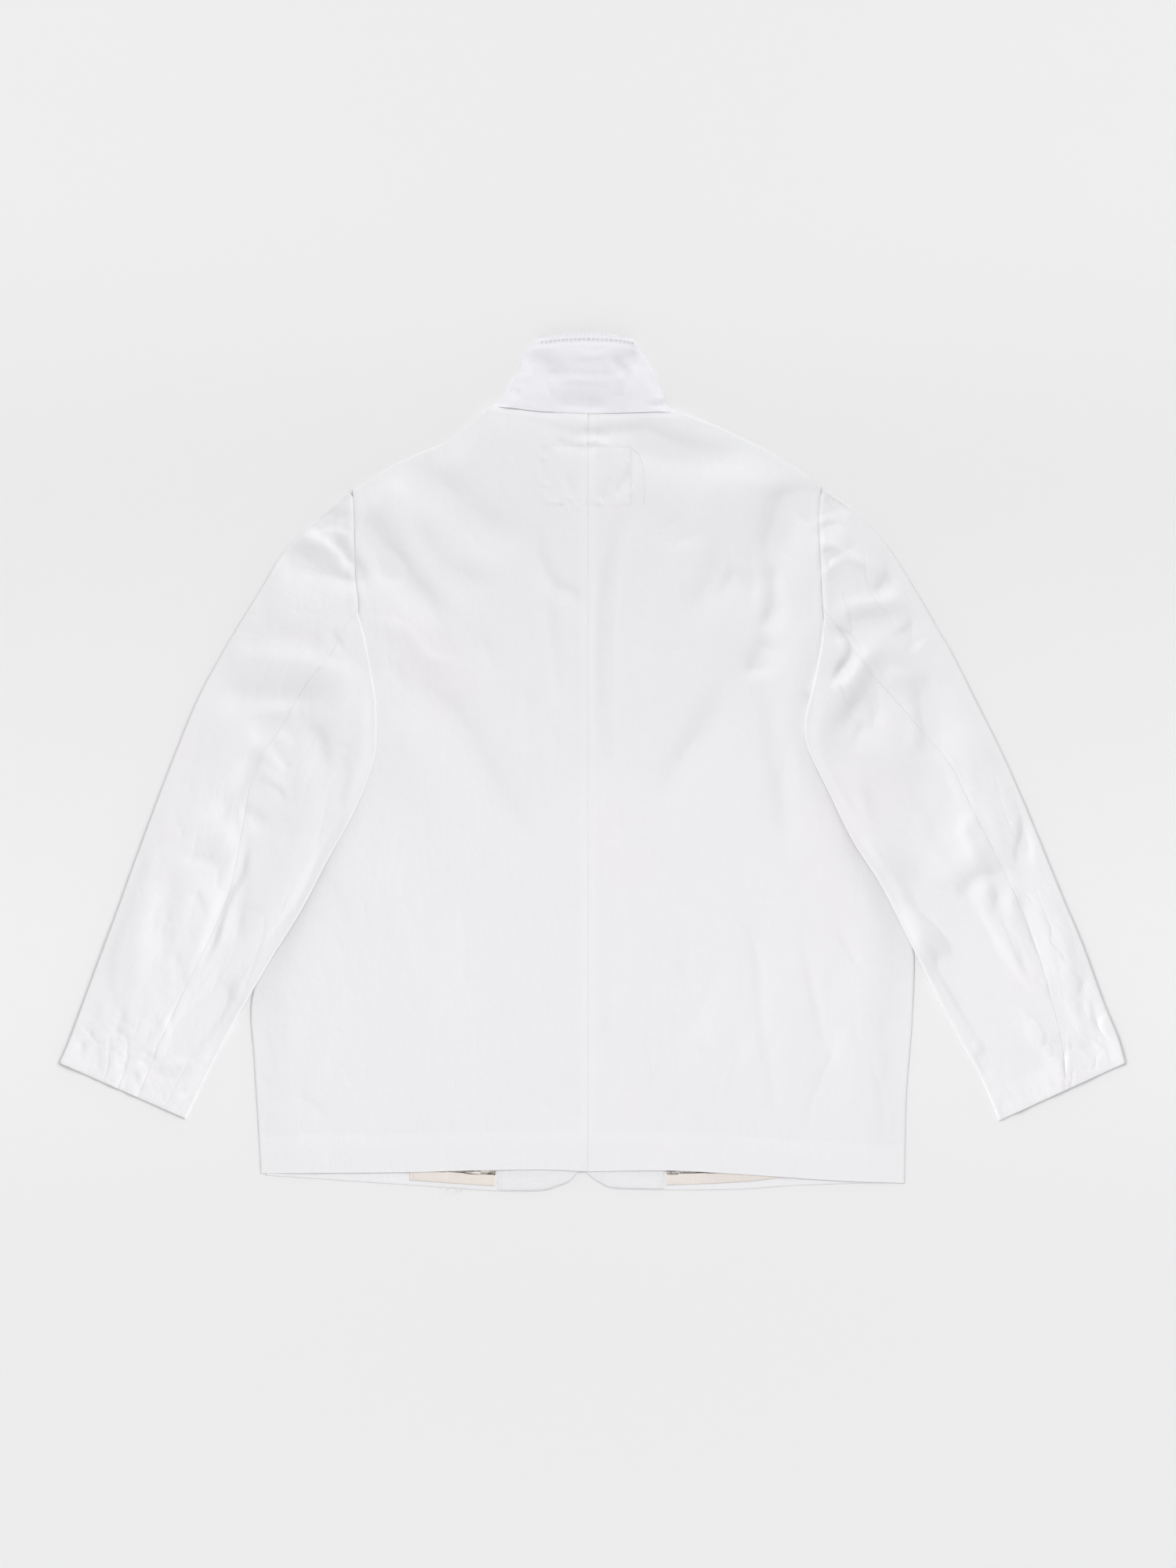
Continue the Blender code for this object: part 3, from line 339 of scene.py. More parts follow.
SLEEVE_CREASES = {
    "left": listed(
        Crease,
        # Across the upper sleeve
        (((-260, -221), (-253, -230), (-248, -242)), 3.5, -1.2),
        (((-330, -222), (-300, -225), (-268, -226)), 11, -2.0),
        (((-376, -244), (-330, -246), (-290, -249), (-262, -257), (-240, -265), (-218, -267)), 9, 3.1),
        (((-386, -286), (-350, -284), (-312, -284), (-286, -286), (-266, -294)), 11, -5.0),
        (((-356, -305), (-320, -299), (-288, -299), (-264, -306)), 5, 1.6),
        (((-350, -330), (-324, -319), (-296, -314)), 9, -3.6),
        # The puffs over the elbow
        (((-318, -322), (-308, -330), (-300, -340)), 5, 1.7),
        (((-334, -340), (-320, -349), (-308, -365)), 5, 1.9),
        (((-318, -346), (-308, -354), (-300, -363)), 3.5, -1.3),
        (((-336, -362), (-320, -369), (-306, -386)), 5, 1.9),
        (((-328, -377), (-314, -382), (-306, -397)), 3.5, -1.6),
        (((-326, -338), (-338, -352), (-352, -381), (-366, -398), (-374, -421)), 6, -3.7),
        (((-356, -404), (-340, -407), (-325, -420)), 6, -2.6),
        (((-372, -412), (-364, -434), (-352, -458)), 8, 2.6),
        (((-346, -436), (-351, -467), (-364, -489), (-372, -512), (-380, -537), (-394, -566)),
         4.5, -6.0),
        (((-343, -470), (-350, -500), (-358, -545)), 6, -3.1),
        (((-420, -449), (-396, -453), (-368, -457)), 5, -1.4),
        (((-402, -462), (-388, -490), (-376, -528)), 8, 1.6),
        (((-398, -480), (-392, -500), (-384, -516)), 4, -1.0),
        (((-424, -540), (-414, -562), (-408, -592)), 5, -1.2),
        # The hooks beside them and the long trough down to the cuff
        (((-278, -312), (-268, -335), (-266, -366)), 6, -4.1),
        (((-253, -347), (-245, -359), (-247, -383), (-254, -415)), 5, -2.4),
        (((-290, -340), (-286, -380), (-296, -430)), 12, 2.3),
        (((-246, -395), (-258, -440), (-282, -486), (-308, -530), (-340, -568)), 7, -6.0),
        (((-296, -520), (-326, -556), (-358, -587), (-386, -614), (-432, -664)), 11, -9.0),
        (((-352, -580), (-376, -606), (-400, -632), (-424, -660)), 8, -5.0),
        (((-262, -452), (-296, -512), (-330, -560), (-366, -603), (-396, -640)), 6, 2.9),
        # The wide bright band down the outside
        (((-420, -410), (-434, -455), (-446, -500), (-456, -545), (-464, -600)), 13, 3.4),
        (((-419, -450), (-426, -500), (-434, -560)), 8, -1.8),
        (((-400, -300), (-424, -380), (-440, -420)), 14, 0.8),
        (((-486, -560), (-484, -590), (-470, -622)), 5, -0.8),
        # Above the cuff
        (((-468, -600), (-476, -620), (-482, -640)), 3.5, -1.0),
        (((-442, -590), (-430, -620), (-424, -640)), 5, 1.0),
        (((-444, -652), (-450, -660), (-454, -666)), 4, -1.9),
        (((-464, -667), (-456, -685), (-452, -698)), 4, -2.2),
        (((-468, -665), (-470, -680), (-476, -694)), 3.5, -1.3),
        (((-440, -664), (-408, -661), (-378, -655)), 4, 0.8),
        (((-430, -678), (-410, -674), (-390, -668)), 4, -0.6),
        (((-500, -640), (-498, -658), (-502, -672)), 4, -1.2),
        (((-516, -634), (-514, -650), (-518, -662)), 4, -1.2),
        (((-484, -648), (-480, -668), (-484, -682)), 3.5, 1.0),
    ),
    "right": listed(
        Crease,
        # The star of puckers and the folds across the sleeve head
        (((236, -142), (250, -138), (262, -148)), 3.5, -1.4),
        (((306, -156), (298, -173), (288, -187)), 6, -3.1),
        (((316, -166), (322, -184)), 5, 0.8),
        (((252, -195), (276, -192), (300, -189), (326, -178)), 7, 3.4),
        (((250, -216), (274, -208), (300, -204), (324, -204)), 8, -4.7),
        (((318, -214), (330, -230), (338, -240)), 9, -2.3),
        (((243, -217), (258, -221), (266, -232), (265, -246), (254, -262), (246, -276)), 5, -6.5),
        (((300, -236), (284, -243), (272, -255), (258, -271), (242, -289)), 7, 4.1),
        (((302, -252), (288, -262), (280, -282), (266, -303), (252, -322), (240, -333)), 9, -6.8),
        (((284, -284), (290, -300), (294, -322)), 4.5, -1.8),
        (((282, -308), (275, -325), (264, -342)), 6, -2.5),
        (((300, -262), (318, -268), (332, -276)), 6, 2.2),
        (((326, -268), (338, -284), (342, -312), (340, -336), (330, -358)), 8, -4.1),
        (((330, -269), (344, -269), (356, -268)), 4, -1.2),
        (((322, -290), (330, -320), (330, -345)), 6, 1.7),
        (((322, -350), (336, -378), (348, -410), (356, -450)), 11, -3.9),
        (((348, -359), (356, -380), (360, -402)), 6, -1.8),
        (((310, -356), (320, -390), (336, -430)), 6, -1.3),
        # The knee of the sleeve, with its slit and its knot
        (((358, -470), (380, -452), (404, -432)), 9, 2.2),
        (((371, -440), (382, -420), (394, -400)), 5, 1.2),
        (((288, -367), (286, -393), (296, -413), (320, -433), (353, -460)), 6, -2.4),
        (((440, -402), (442, -428), (438, -448), (434, -462)), 5, -3.7),
        (((382, -510), (380, -488), (392, -473), (412, -467), (438, -470)), 6, -2.0),
        (((404, -466), (418, -476), (434, -474)), 7, -1.4),
        (((412, -476), (415, -492), (414, -510)), 4, -1.6),
        (((398, -480), (402, -496), (400, -516)), 4, 0.7),
        (((426, -486), (430, -502), (428, -520)), 4, 0.7),
        (((436, -480), (444, -510), (458, -545)), 5, -1.2),
        # The long troughs down to the cuff, and the fold along the inner edge
        (((236, -338), (250, -366), (264, -390), (278, -414)), 5, -1.9),
        (((288, -440), (318, -482), (350, -508), (376, -530), (390, -562), (410, -606)), 12, -9.5),
        (((366, -516), (382, -542), (392, -572), (406, -606)), 5, -5.5),
        (((330, -532), (356, -562), (382, -596), (406, -626), (440, -664)), 11, -8.5),
        (((380, -590), (404, -622), (424, -648), (438, -666)), 8, -4.0),
        (((322, -500), (350, -532), (376, -562), (404, -600)), 6, 3.1),
        (((310, -492), (334, -540), (364, -588), (392, -630)), 6, 1.9),
        (((398, -552), (424, -578), (452, -602), (478, -620), (500, -634)), 8, -4.2),
        (((392, -648), (410, -664), (430, -678)), 7, -2.8),
        # The wide bright band down the outside, and the creases above the cuff
        (((366, -300), (390, -356), (414, -411), (428, -460)), 14, 1.8),
        (((450, -480), (474, -540), (490, -600)), 14, 2.2),
        (((507, -567), (502, -593), (500, -619)), 5, -1.0),
        (((514, -590), (516, -616), (524, -634)), 4, -1.2),
        (((424, -520), (440, -556), (452, -580)), 4, -1.0),
        (((410, -636), (424, -646), (440, -668)), 4, -1.0),
        (((440, -640), (456, -648), (470, -664)), 4, -1.0),
        (((462, -636), (478, -646), (488, -662)), 4, -0.8),
        (((500, -640), (512, -650), (518, -660)), 4, -1.2),
    ),
}

# Puckers across the hem, from the centre, and across the cuffs, from the outer edge
Pucker = namedtuple("Pucker", "at width depth")
HEM_PUCKERS = listed(
    Pucker,
    (-262, 7, -0.35), (-216, 6, -0.3), (-162, 5, -0.5), (-146, 4, -0.45), (-112, 4, -0.4),
    (-72, 6, -0.3), (-42, 5, -0.45), (-32, 4, -0.35), (9, 5, -0.55), (28, 5, -0.35),
    (67, 5, -0.45), (98, 6, -0.25), (138, 4, -0.45), (146, 3, 0.3), (196, 6, -0.35),
    (238, 5, -0.3), (276, 6, -0.35),
)
CUFF_PUCKERS = {
    "left": listed(
        Pucker, (12, 4, -0.45), (26, 4, -0.405), (38, 5, -0.405), (56, 4, -0.495), (74, 5, -0.54),
        (88, 4, -0.315), (112, 6, -0.27)),
    "right": listed(
        Pucker, (10, 4, -0.585), (24, 4, -0.495), (40, 5, -0.54), (58, 4, -0.585), (76, 4, -0.45),
        (92, 5, -0.405), (116, 6, -0.27)),
}

# The turned-up collar from neck seam to top: its two side folds, then how it lies
CollarStation = namedtuple("CollarStation", "left_x left_y right_x right_y")
COLLAR = listed(
    CollarStation,
    (-100, 9.6, 95, 2.6),
    (-89, 22, 82, 13),
    (-79, 34, 76, 24),
    (-71, 44, 69, 40),
    (-66, 59, 59, 57),
    (-53, 76, 47, 76),
)
COLLAR_HEIGHT = 76
COLLAR_CROWN = 7.5
COLLAR_THICKNESS = 10.2
COLLAR_THINNING = 1.0
COLLAR_RETURN = 46.0
COLLAR_CORNER_GAP = 0.3
COLLAR_RETURN_ENDS = (((-38, 8), (-60, 56)), ((38, 8), (50, 57)))
COLLAR_PLIES = 1.9
COLLAR_LAYER_GAP = 1.55
COLLAR_CREASES = listed(
    Crease,
    # Hollows below the top corners, then wrinkles across the back stretch
    (((-68, 62), (-54, 60), (-42, 54), (-30, 49), (-18, 50)), 7, -5.0),
    (((-44, 45), (-30, 43), (-18, 46)), 4, -2.2),
    (((54, 64), (42, 61), (32, 55), (22, 47)), 7, -6.5),
    (((44, 50), (34, 47), (24, 42)), 4, -2.0),
    (((-14, 64), (4, 60), (26, 64)), 4, 1.2),
    (((-20, 56), (0, 54), (22, 57)), 3.5, -1.2),
    (((-24, 44), (0, 43), (30, 42)), 3.5, -1.2),
    (((-30, 38), (-8, 36), (20, 38)), 3, 0.8),
    (((-36, 30), (-10, 31), (26, 28)), 3, -0.9),
    # Edges of the folded-back fronts, and their own wrinkles
    (((-60, 54), (-48, 36), (-42, 22), (-37, 9)), 4, 2.2),
    (((-58, 50), (-45, 34), (-38, 20), (-33, 9)), 3.5, -2.0),
    (((50, 55), (46, 38), (41, 22), (38, 9)), 4, 2.4),
    (((44, 50), (40, 36), (36, 22), (32, 9)), 4, -2.0),
    (((30, 36), (30, 24), (27, 12)), 3, -1.2),
    (((-38, 8), (-16, 14), (8, 12), (28, 8)), 7, -3.0),
    (((-30, 30), (-8, 18), (10, 24)), 7, -1.0),
    (((-80, 27), (-73, 24), (-66, 20)), 4, -2.0),
    (((-76, 38), (-68, 34), (-58, 35)), 4, -1.0),
    (((54, 52), (60, 44), (64, 34)), 5, -1.2),
    (((62, 40), (66, 32), (74, 28)), 4, -1.4),
    (((60, 12), (70, 10), (80, 16)), 3.5, -2.4),
    (((66, 18), (76, 16), (84, 9)), 3.5, 1.8),
)

# The label inside the back, whose sewing shows outside: its outline, then the middle, the half
# width, the top and the lower edge of the cloth that it lifts
LABEL = ((-46, -32), (44, -34), (43.5, -93), (-45, -92.5), (-46, -32))
LABEL_MIDDLE_X = -1
LABEL_HALF_WIDTH = 45
LABEL_TOP_Y = -33
LABEL_LOW_Y = -93

# Rows of stitches: the sheet that each is on, its line, the stitches' pitch, length and width
Row = namedtuple("Row", "sheet line pitch length width", defaults=(3.0, 2.3, 0.6))
ROWS = {
    "label_sewing_top_left": Row("back_cloth_left", ((-46, -32), (-1, -33))),
    "label_sewing_top_right": Row("back_cloth_right", ((1, -33), (44, -34))),
    "label_sewing_right": Row("back_cloth_right", ((44, -35), (43.5, -92))),
    "label_sewing_bottom_left": Row("back_cloth_left", ((-45, -92.5), (-1, -93))),
    "label_sewing_bottom_right": Row("back_cloth_right", ((1, -93), (43, -93))),
    "label_sewing_left": Row("back_cloth_left", ((-46, -33), (-45, -91.5))),
    "collar_stitches_outer": Row(
        "collar_cloth_under",
        ((-44, 76.5), (-22, 79.2), (0, 80), (22, 79.2), (42, 76.5)), 3.2, 2.6, 0.7),
    "collar_stitches_inner": Row(
        "collar_cloth_under",
        ((-46, 72), (-23, 74.8), (0, 75.6), (23, 74.8), (44, 72)), 3.2, 2.6, 0.7),
}
STITCH_LIFT = 0.05

# The loose thread beside the label: its line, and how high it stands off the cloth
LOOSE_THREAD = ((44.8, -35.2, 0.2), (48, -37, 0.8), (52, -41, 0.9), (56, -54, 0.5), (57, -69, 0.6),
                (58, -81, 0.5), (56, -93, 0.4))
THREAD_THICKNESS = 0.55

# Frayed threads at the left front's hem: where each leaves the cloth, and where it ends
Fray = namedtuple("Fray", "root_x root_y tip_x tip_y")
FRAYED = listed(
    Fray,
    (-110, -786, -117, -790), (-114, -786.5, -112, -792), (-119, -786.5, -128, -789),
    (-122, -786.5, -120, -793), (-126, -786, -136, -790), (-130, -786, -128, -794),
    (-134, -786, -145, -791), (-138, -785.5, -134, -793), (-143, -785.5, -152, -790),
    (-147, -785, -143, -795), (-124, -786, -141, -797), (-149, -785, -158, -787),
)
FRAY_THICKNESS = 0.35

# The strips on each front whose lower ends show under the hem: from their inner to their outer
# side, their top, how far they hang over the front's hem at both sides, and their waves
Strip = namedtuple("Strip", "inner_x outer_x top_y inner_drop outer_drop seed wave")
STRIP_LOW_Y = -790
STRIPS = {
    "left": {"facing_cloth_": Strip(-9.5, -92.5, -120.0, 1.2, 1.2, 81, 0.25),
             "pocket_bag_cloth_": Strip(-95, -182, -600, 5, 5, 82, 0.3)},
    "right": {"facing_cloth_": Strip(-2.5, 77.5, -120.0, 1.2, 1.2, 81, 0.25),
              "pocket_bag_cloth_": Strip(80, 203, -600, 5, 9, 82, 0.3)},
}

# The cloths: two tints and the spread of their tone, how matt and how fluffy they are, threads to
# the metre, how much of a twill they are, then the relief of the weave and of fine creases in
# metres, and how much the tone of single threads varies
Finish = namedtuple(
    "Finish", "colour shade tint roughness sheen threads twill weave_depth crumple slub")
SHEEN_ROUGHNESS = 0.6
CLOTH_GLOSS = 0.25
SLUB_DEPTH = 0.00012
SLUB_ROUGHNESS = 0.08
DOUBLED_LIGHTER = 0.02
FINISHES = {
    "jacket_cotton": Finish((0.850, 0.850, 0.864), 0.03, (0.858, 0.843, 0.867), 0.88, 0.12,
                            1450.0, 0.1, 0.00004, 0.00018, 0.05),
    "collar_cotton": Finish((0.850, 0.843, 0.882), 0.04, (0.840, 0.837, 0.885), 0.88, 0.12,
                            1450.0, 0.35, 0.00007, 0.00028, 0.05),
    "facing_cotton": Finish((0.831, 0.830, 0.846), 0.05, (0.822, 0.825, 0.850), 0.86, 0.10,
                            1450.0, 0.35, 0.00007, 0.00024, 0.06),
    "pocketing": Finish((0.838, 0.773, 0.717), 0.20, (0.829, 0.778, 0.737), 0.9, 0.10,
                        1150.0, 0.8, 0.00010, 0.00024, 0.16),
}

# Where sewing shows as a line in a material: beside the label, in two rows along the collar's
# top edge, at the inner edges of the facings and in the seams of the pocket bags
STITCHED_LINES = {
    "jacket_cotton": (((-20, -32.5), (44, -34)), ((44, -34), (43.5, -93))),
    "collar_cotton": (
        ((-46, 78.6), (-22, 81.4)), ((-22, 81.4), (0, 82.2)), ((0, 82.2), (22, 81.4)),
        ((22, 81.4), (44, 78.2)), ((-48, 72.4), (-23, 74.7)), ((-23, 74.7), (0, 75.3)),
        ((0, 75.3), (23, 74.7)), ((23, 74.7), (46, 71.8))),
    "facing_cotton": (((-89.5, -700), (-89.5, -800)), ((74.5, -700), (74.5, -800))),
    "pocketing": (((-178.5, -700), (-178.5, -800)), ((-98, -700), (-98, -800)),
                  ((199, -700), (199, -800))),
}

# The stitches of those lines in metres: their pitch, their width, the relief of each stitch and
# that of the furrow they lie in, then how deep the painted shade is that darkens the cloth at each
# stitch, in place of the shade in its puckers. The collar's stitches draw the cloth in like a ladder.
Sewn = namedtuple("Sewn", "pitch width stitch furrow shade",
                  defaults=(0.0028, 0.0009, 0.0002, -0.0003, 0.0))
SEWN = {
    "jacket_cotton": Sewn(shade=0.05),
    "collar_cotton": Sewn(0.0044, 0.0021, -0.0011, 0.0, 0.09),
    "facing_cotton": Sewn(),
    "pocketing": Sewn(),
}

# The cut of each piece in metres: its width and length, its flat area, and what it lies on
Cut = namedtuple("Cut", "node slot width length area rests_on")
CUTS = {
    "front_cloth_left": Cut("front_left", "jacket_cotton", 0.340, 0.800, 0.2230, "floor"),
    "front_cloth_right": Cut("front_right", "jacket_cotton", 0.340, 0.800, 0.2230, "floor"),
    "facing_cloth_left": Cut("facing_left", "facing_cotton", 0.083, 0.672, 0.0557,
                             "front_cloth_left"),
    "facing_cloth_right": Cut("facing_right", "facing_cotton", 0.080, 0.672, 0.0537,
                              "front_cloth_right"),
    "pocket_bag_cloth_left": Cut("pocket_bag_left", "pocketing", 0.087, 0.190, 0.0160,
                                 "front_cloth_left"),
    "pocket_bag_cloth_right": Cut("pocket_bag_right", "pocketing", 0.123, 0.190, 0.0225,
                                  "front_cloth_right"),
    "back_cloth_left": Cut("back_left", "jacket_cotton", 0.350, 0.800, 0.2300, "front_cloth_left"),
    "back_cloth_right": Cut("back_right", "jacket_cotton", 0.350, 0.800, 0.2300,
                            "front_cloth_right"),
    "sleeve_cloth_left_top": Cut("sleeve_left_top", "jacket_cotton", 0.250, 0.700, 0.1150, "floor"),
    "sleeve_cloth_right_top": Cut("sleeve_right_top", "jacket_cotton", 0.220, 0.700, 0.0980,
                                  "floor"),
    "sleeve_cloth_left_under": Cut("sleeve_left_under", "jacket_cotton", 0.200, 0.600, 0.0700,
                                   "back_cloth_left"),
    "sleeve_cloth_right_under": Cut("sleeve_right_under", "jacket_cotton", 0.225, 0.620, 0.0910,
                                    "back_cloth_right"),
    "collar_cloth_under": Cut("collar_under", "collar_cotton", 0.260, 0.085, 0.0200,
                              "front_cloth_left"),
    "collar_cloth_top": Cut("collar_top", "collar_cotton", 0.250, 0.082, 0.0190,
                            "collar_cloth_under"),
}


def smooth_step(share):
    share = np.clip(share, 0.0, 1.0)
    return share * share * (3 - 2 * share)


def mix(first, second, share):
    return first + (second - first) * share


def bell(distance, width):
    """A soft hump: 1 at no distance, and almost nothing at two widths."""
    return np.exp(-(distance / width) ** 2)


def kept_over(least, height, softness):
    """A height that gives way softly where it would sink under the least one."""
    over = height - least
    return least + 0.5 * (over + np.sqrt(over * over + softness))


def curve_through(points, steps=12):
    """A dense run of points along the smooth curve that passes through the given ones."""
    knots = np.array(points, float)
    before = np.vstack((knots[:1], knots[:-1]))
    after = np.vstack((knots[1:], knots[-1:]))
    slope = (after - before) / 2
    t = np.linspace(0, 1, steps, endpoint=False)[:, None]
    run = []
    for index in range(len(knots) - 1):
        run.append(
            (2 * t ** 3 - 3 * t ** 2 + 1) * knots[index] + (t ** 3 - 2 * t ** 2 + t) * slope[index]
            + (3 * t ** 2 - 2 * t ** 3) * knots[index + 1] + (t ** 3 - t ** 2) * slope[index + 1]
        )
    run.append(knots[-1:])
    return np.vstack(run)


def run_lengths(run):
    return np.concatenate(([0.0], np.cumsum(np.linalg.norm(np.diff(run, axis=0), axis=1))))


def at_share(run, shares):
    """Points at shares of the length of a run of points."""
    lengths = run_lengths(run)
    wanted = np.asarray(shares) * lengths[-1]
    return np.stack([np.interp(wanted, lengths, column) for column in run.T], axis=-1)


def between(table, places):
    """The table's rows at fractional places, each column on a smooth curve."""
    rows = np.array(table, float)
    last = len(rows) - 1
    index = np.minimum(places.astype(int), last - 1)
    share = (places - index)[:, None]
    p0, p1, p2, p3 = (rows[np.clip(index + step, 0, last)] for step in (-1, 0, 1, 2))
    bend = 2 * p0 - 5 * p1 + 4 * p2 - p3
    twist = 3 * (p1 - p2) + p3 - p0
    return p1 + 0.5 * share * (p2 - p0 + share * (bend + share * twist))


def off_stretch(x, y, start, end):
    """How far points lie off a straight stretch, in x and in y, and their share along it."""
    dx, dy = end[0] - start[0], end[1] - start[1]
    share = np.clip(((x - start[0]) * dx + (y - start[1]) * dy) / (dx * dx + dy * dy), 0, 1)
    return x - start[0] - share * dx, y - start[1] - share * dy, share


def lamp_y(y):
    """How far up the plan the light comes from, for cloth at a height of the plan."""
    upper = smooth_step((y - LAMPS_MEET[0]) / (LAMPS_MEET[1] - LAMPS_MEET[0]))
    return mix(LOWER_LAMP[1], UPPER_LAMP[1], upper)


def fold_line(crease):
    """The bottom or crest of a crease. Its line in the table follows the shaded flank of a
    trough or the lit flank of a ridge, and the fold lies beside that, away from the lamp."""
    run = curve_through(crease.line, 6)
    step = np.gradient(run, axis=0)
    step /= np.linalg.norm(step, axis=1)[:, None] + 1e-9
    normal = np.stack((-step[:, 1], step[:, 0]), axis=1)
    away = np.stack((run[:, 0], run[:, 1] - lamp_y(run[:, 1])), axis=1)
    away /= np.linalg.norm(away, axis=1)[:, None] + 120
    return run + normal * FLANK * crease.width * (normal * away).sum(axis=1)[:, None]


def crease_height(x, y, creases):
    """Height that a set of creases adds at points of the plan."""
    height = np.zeros_like(x)
    for crease in creases:
        run = fold_line(crease)
        width = crease.width * (1 + SOFT_SPREAD * smooth_step((crease.width - 4) / 4))
        low, high = run.min(axis=0) - CREASE_REACH * width, run.max(axis=0) + CREASE_REACH * width
        near = (x > low[0]) & (x < high[0]) & (y > low[1]) & (y < high[1])
        if not near.any():
            continue
        px, py = x[near], y[near]
        best, along, beyond = np.full(px.shape, 1e9), np.zeros(px.shape), np.zeros(px.shape)
        away_y = py - lamp_y(py)
        away = np.hypot(px, away_y) + 1e-6
        lengths = run_lengths(run)
        for start, end, passed, length in zip(run, run[1:], lengths, np.diff(lengths)):
            off_x, off_y, share = off_stretch(px, py, start, end)
            off = np.hypot(off_x, off_y)
            closer = off < best
            best = np.where(closer, off, best)
            beyond = np.where(closer, (off_x * px + off_y * away_y) / (away * (off + 1e-6)), beyond)
            along = np.where(closer, passed + share * length, along)
        along /= lengths[-1]
        ends = smooth_step(along / CREASE_FADE) * smooth_step((1 - along) / CREASE_FADE)
        uneven = 0.85 + 0.15 * np.sin(9 * along + crease.width * 3 + crease.line[0][0])
        flank = width * (1 + FAR_FLANK * np.clip(beyond, 0, 1))
        height[near] += crease.depth * mix(CREASE_END, 1, ends) * uneven * bell(best, flank)
    return height


def value_noise(x, y, seed):
    """Smooth noise from -1 to 1 on a plan measured in the noise's own cells."""
    grid = np.random.default_rng(seed).uniform(-1, 1, (64, 64))
    column, row = np.floor(x).astype(int), np.floor(y).astype(int)
    fx, fy = x - column, y - row
    fx, fy = (f * f * f * (f * (6 * f - 15) + 10) for f in (fx, fy))
    a, b = grid[row % 64, column % 64], grid[row % 64, (column + 1) % 64]
    c, d = grid[(row + 1) % 64, column % 64], grid[(row + 1) % 64, (column + 1) % 64]
    return (a * (1 - fx) + b * fx) * (1 - fy) + (c * (1 - fx) + d * fx) * fy


def turned(x, y, angle):
    cosine, sine = math.cos(math.radians(angle)), math.sin(math.radians(angle))
    return x * cosine + y * sine, y * cosine - x * sine


def rumple(x, y, across, along, angle, height, seed):
    """Soft unevenness, longer along the given direction than across it."""
    u, v = turned(x, y, angle)
    u = u + 0.35 * across * value_noise(u / (2.2 * across), v / (1.4 * across), seed + 50)
    return height * value_noise(u / across, v / along, seed)


def crinkles(x, y, across, along, angle, depth, seed):
    """Thin creases at uneven distances, where two soft noises change sign."""
    u, v = turned(x, y, angle)
    u = u + 0.5 * across * value_noise(u / (3 * across), v / (0.5 * along), seed + 70)
    field = value_noise(u / across, v / along, seed)
    patch = smooth_step(0.5 + 1.2 * value_noise(x / 95 + 3, y / 95 + 5, seed + 90))
    return -depth * patch * (1 - np.abs(field)) ** 7


# The smooth line down the armhole and the side of the body
BODY_EDGE = {
    hand: np.vstack((curve_through(contour["armhole"], 24), curve_through(contour["side"], 24)[1:]))
    for hand, contour in CONTOUR.items()
}


def edge_x(hand, y):
    """Distance from the centre to the edge of the body at heights of the plan."""
    run = BODY_EDGE[hand]
    return np.interp(-y, -run[:, 1], np.abs(run[:, 0]))


def shoulder_y(hand, x):
    points = np.array(CONTOUR[hand]["neck"][-1:] + CONTOUR[hand]["shoulder"][1:])
    return np.interp(np.abs(x), np.abs(points[:, 0]), points[:, 1])


def neck_y(x):
    """The neck seam's place up the plan, at a distance across."""
    points = np.array(CONTOUR["left"]["neck"][::-1] + CONTOUR["right"]["neck"])
    return np.interp(x, points[:, 0], points[:, 1])


def back_base(x, y):
    """Height of the back's outer surface without its creases and rolled edges."""
    height = np.zeros_like(x)
    for hand, mine in (("left", x < 0), ("right", x >= 0)):
        underarm_y = CONTOUR[hand]["side"][0][1]
        hem_y = CONTOUR[hand]["hem"][0][1]
        covered = smooth_step((y + 600) / 120)
        rise = smooth_step((edge_x(hand, y) - np.abs(x) + 12 - 14 * covered) / (70 - 18 * covered))
        rise += (1 - rise) * smooth_step((y - underarm_y + 60) / 60)
        rise *= smooth_step((y - hem_y) / 330)
        rise *= smooth_step((shoulder_y(hand, x) - y + 30) / 60)
        height = np.where(mine, BACK_AT_HEM + BACK_AIR * rise, height)
    return height


def crumpled(x):
    """How much deeper the creases of the back are right of its seam than left of it."""
    return mix(1, RIGHT_BACK_DEPTH, smooth_step((x - 20) / 50))


def body_wrinkles(x, y):
    """Small unevenness of the back's cloth."""
    height = rumple(x, y, 34, 110, 4, 0.4, 11)
    height += rumple(x, y, 15, 60, -4, 0.1, 12)
    right = 0.35 + 0.65 * smooth_step((x + 60) / 120)
    height += crinkles(x, y, 26, 170, -7, 0.85, 13) * smooth_step((-y - 380) / 200) * right
    height += crinkles(x, y, 19, 90, -10, 0.35, 14)
    height += crinkles(x, y, 14, 40, 24, 0.3, 15) * smooth_step((y + 330) / 160)
    return height * crumpled(x)


def label_relief(x, y):
    """The back's cloth drawn in along the label's sewing, and puckered beside it."""
    distance = np.full(x.shape, 1e9)
    for start, end in zip(LABEL, LABEL[1:]):
        off_x, off_y, _ = off_stretch(x, y, start, end)
        distance = np.minimum(distance, np.hypot(off_x, off_y))
    drawn = 0.5 + 0.5 * value_noise(x / 7, y / 7, 25)
    ripple = value_noise(x / 4.5, y / 4.5, 26) * bell(distance, 7)
    within = (np.abs(x - LABEL_MIDDLE_X) < LABEL_HALF_WIDTH) & (y < LABEL_TOP_Y) & (y > LABEL_LOW_Y)
    ripple += 0.7 * value_noise(x / 9, y / 6, 27) * bell(y + 90, 12) * within
    furrow = (0.25 + 0.75 * smooth_step((x + 20) / 50)) * drawn * bell(distance, 2.4)
    return LABEL_RIPPLE * ripple - LABEL_FURROW * furrow + LABEL_PLIES * within


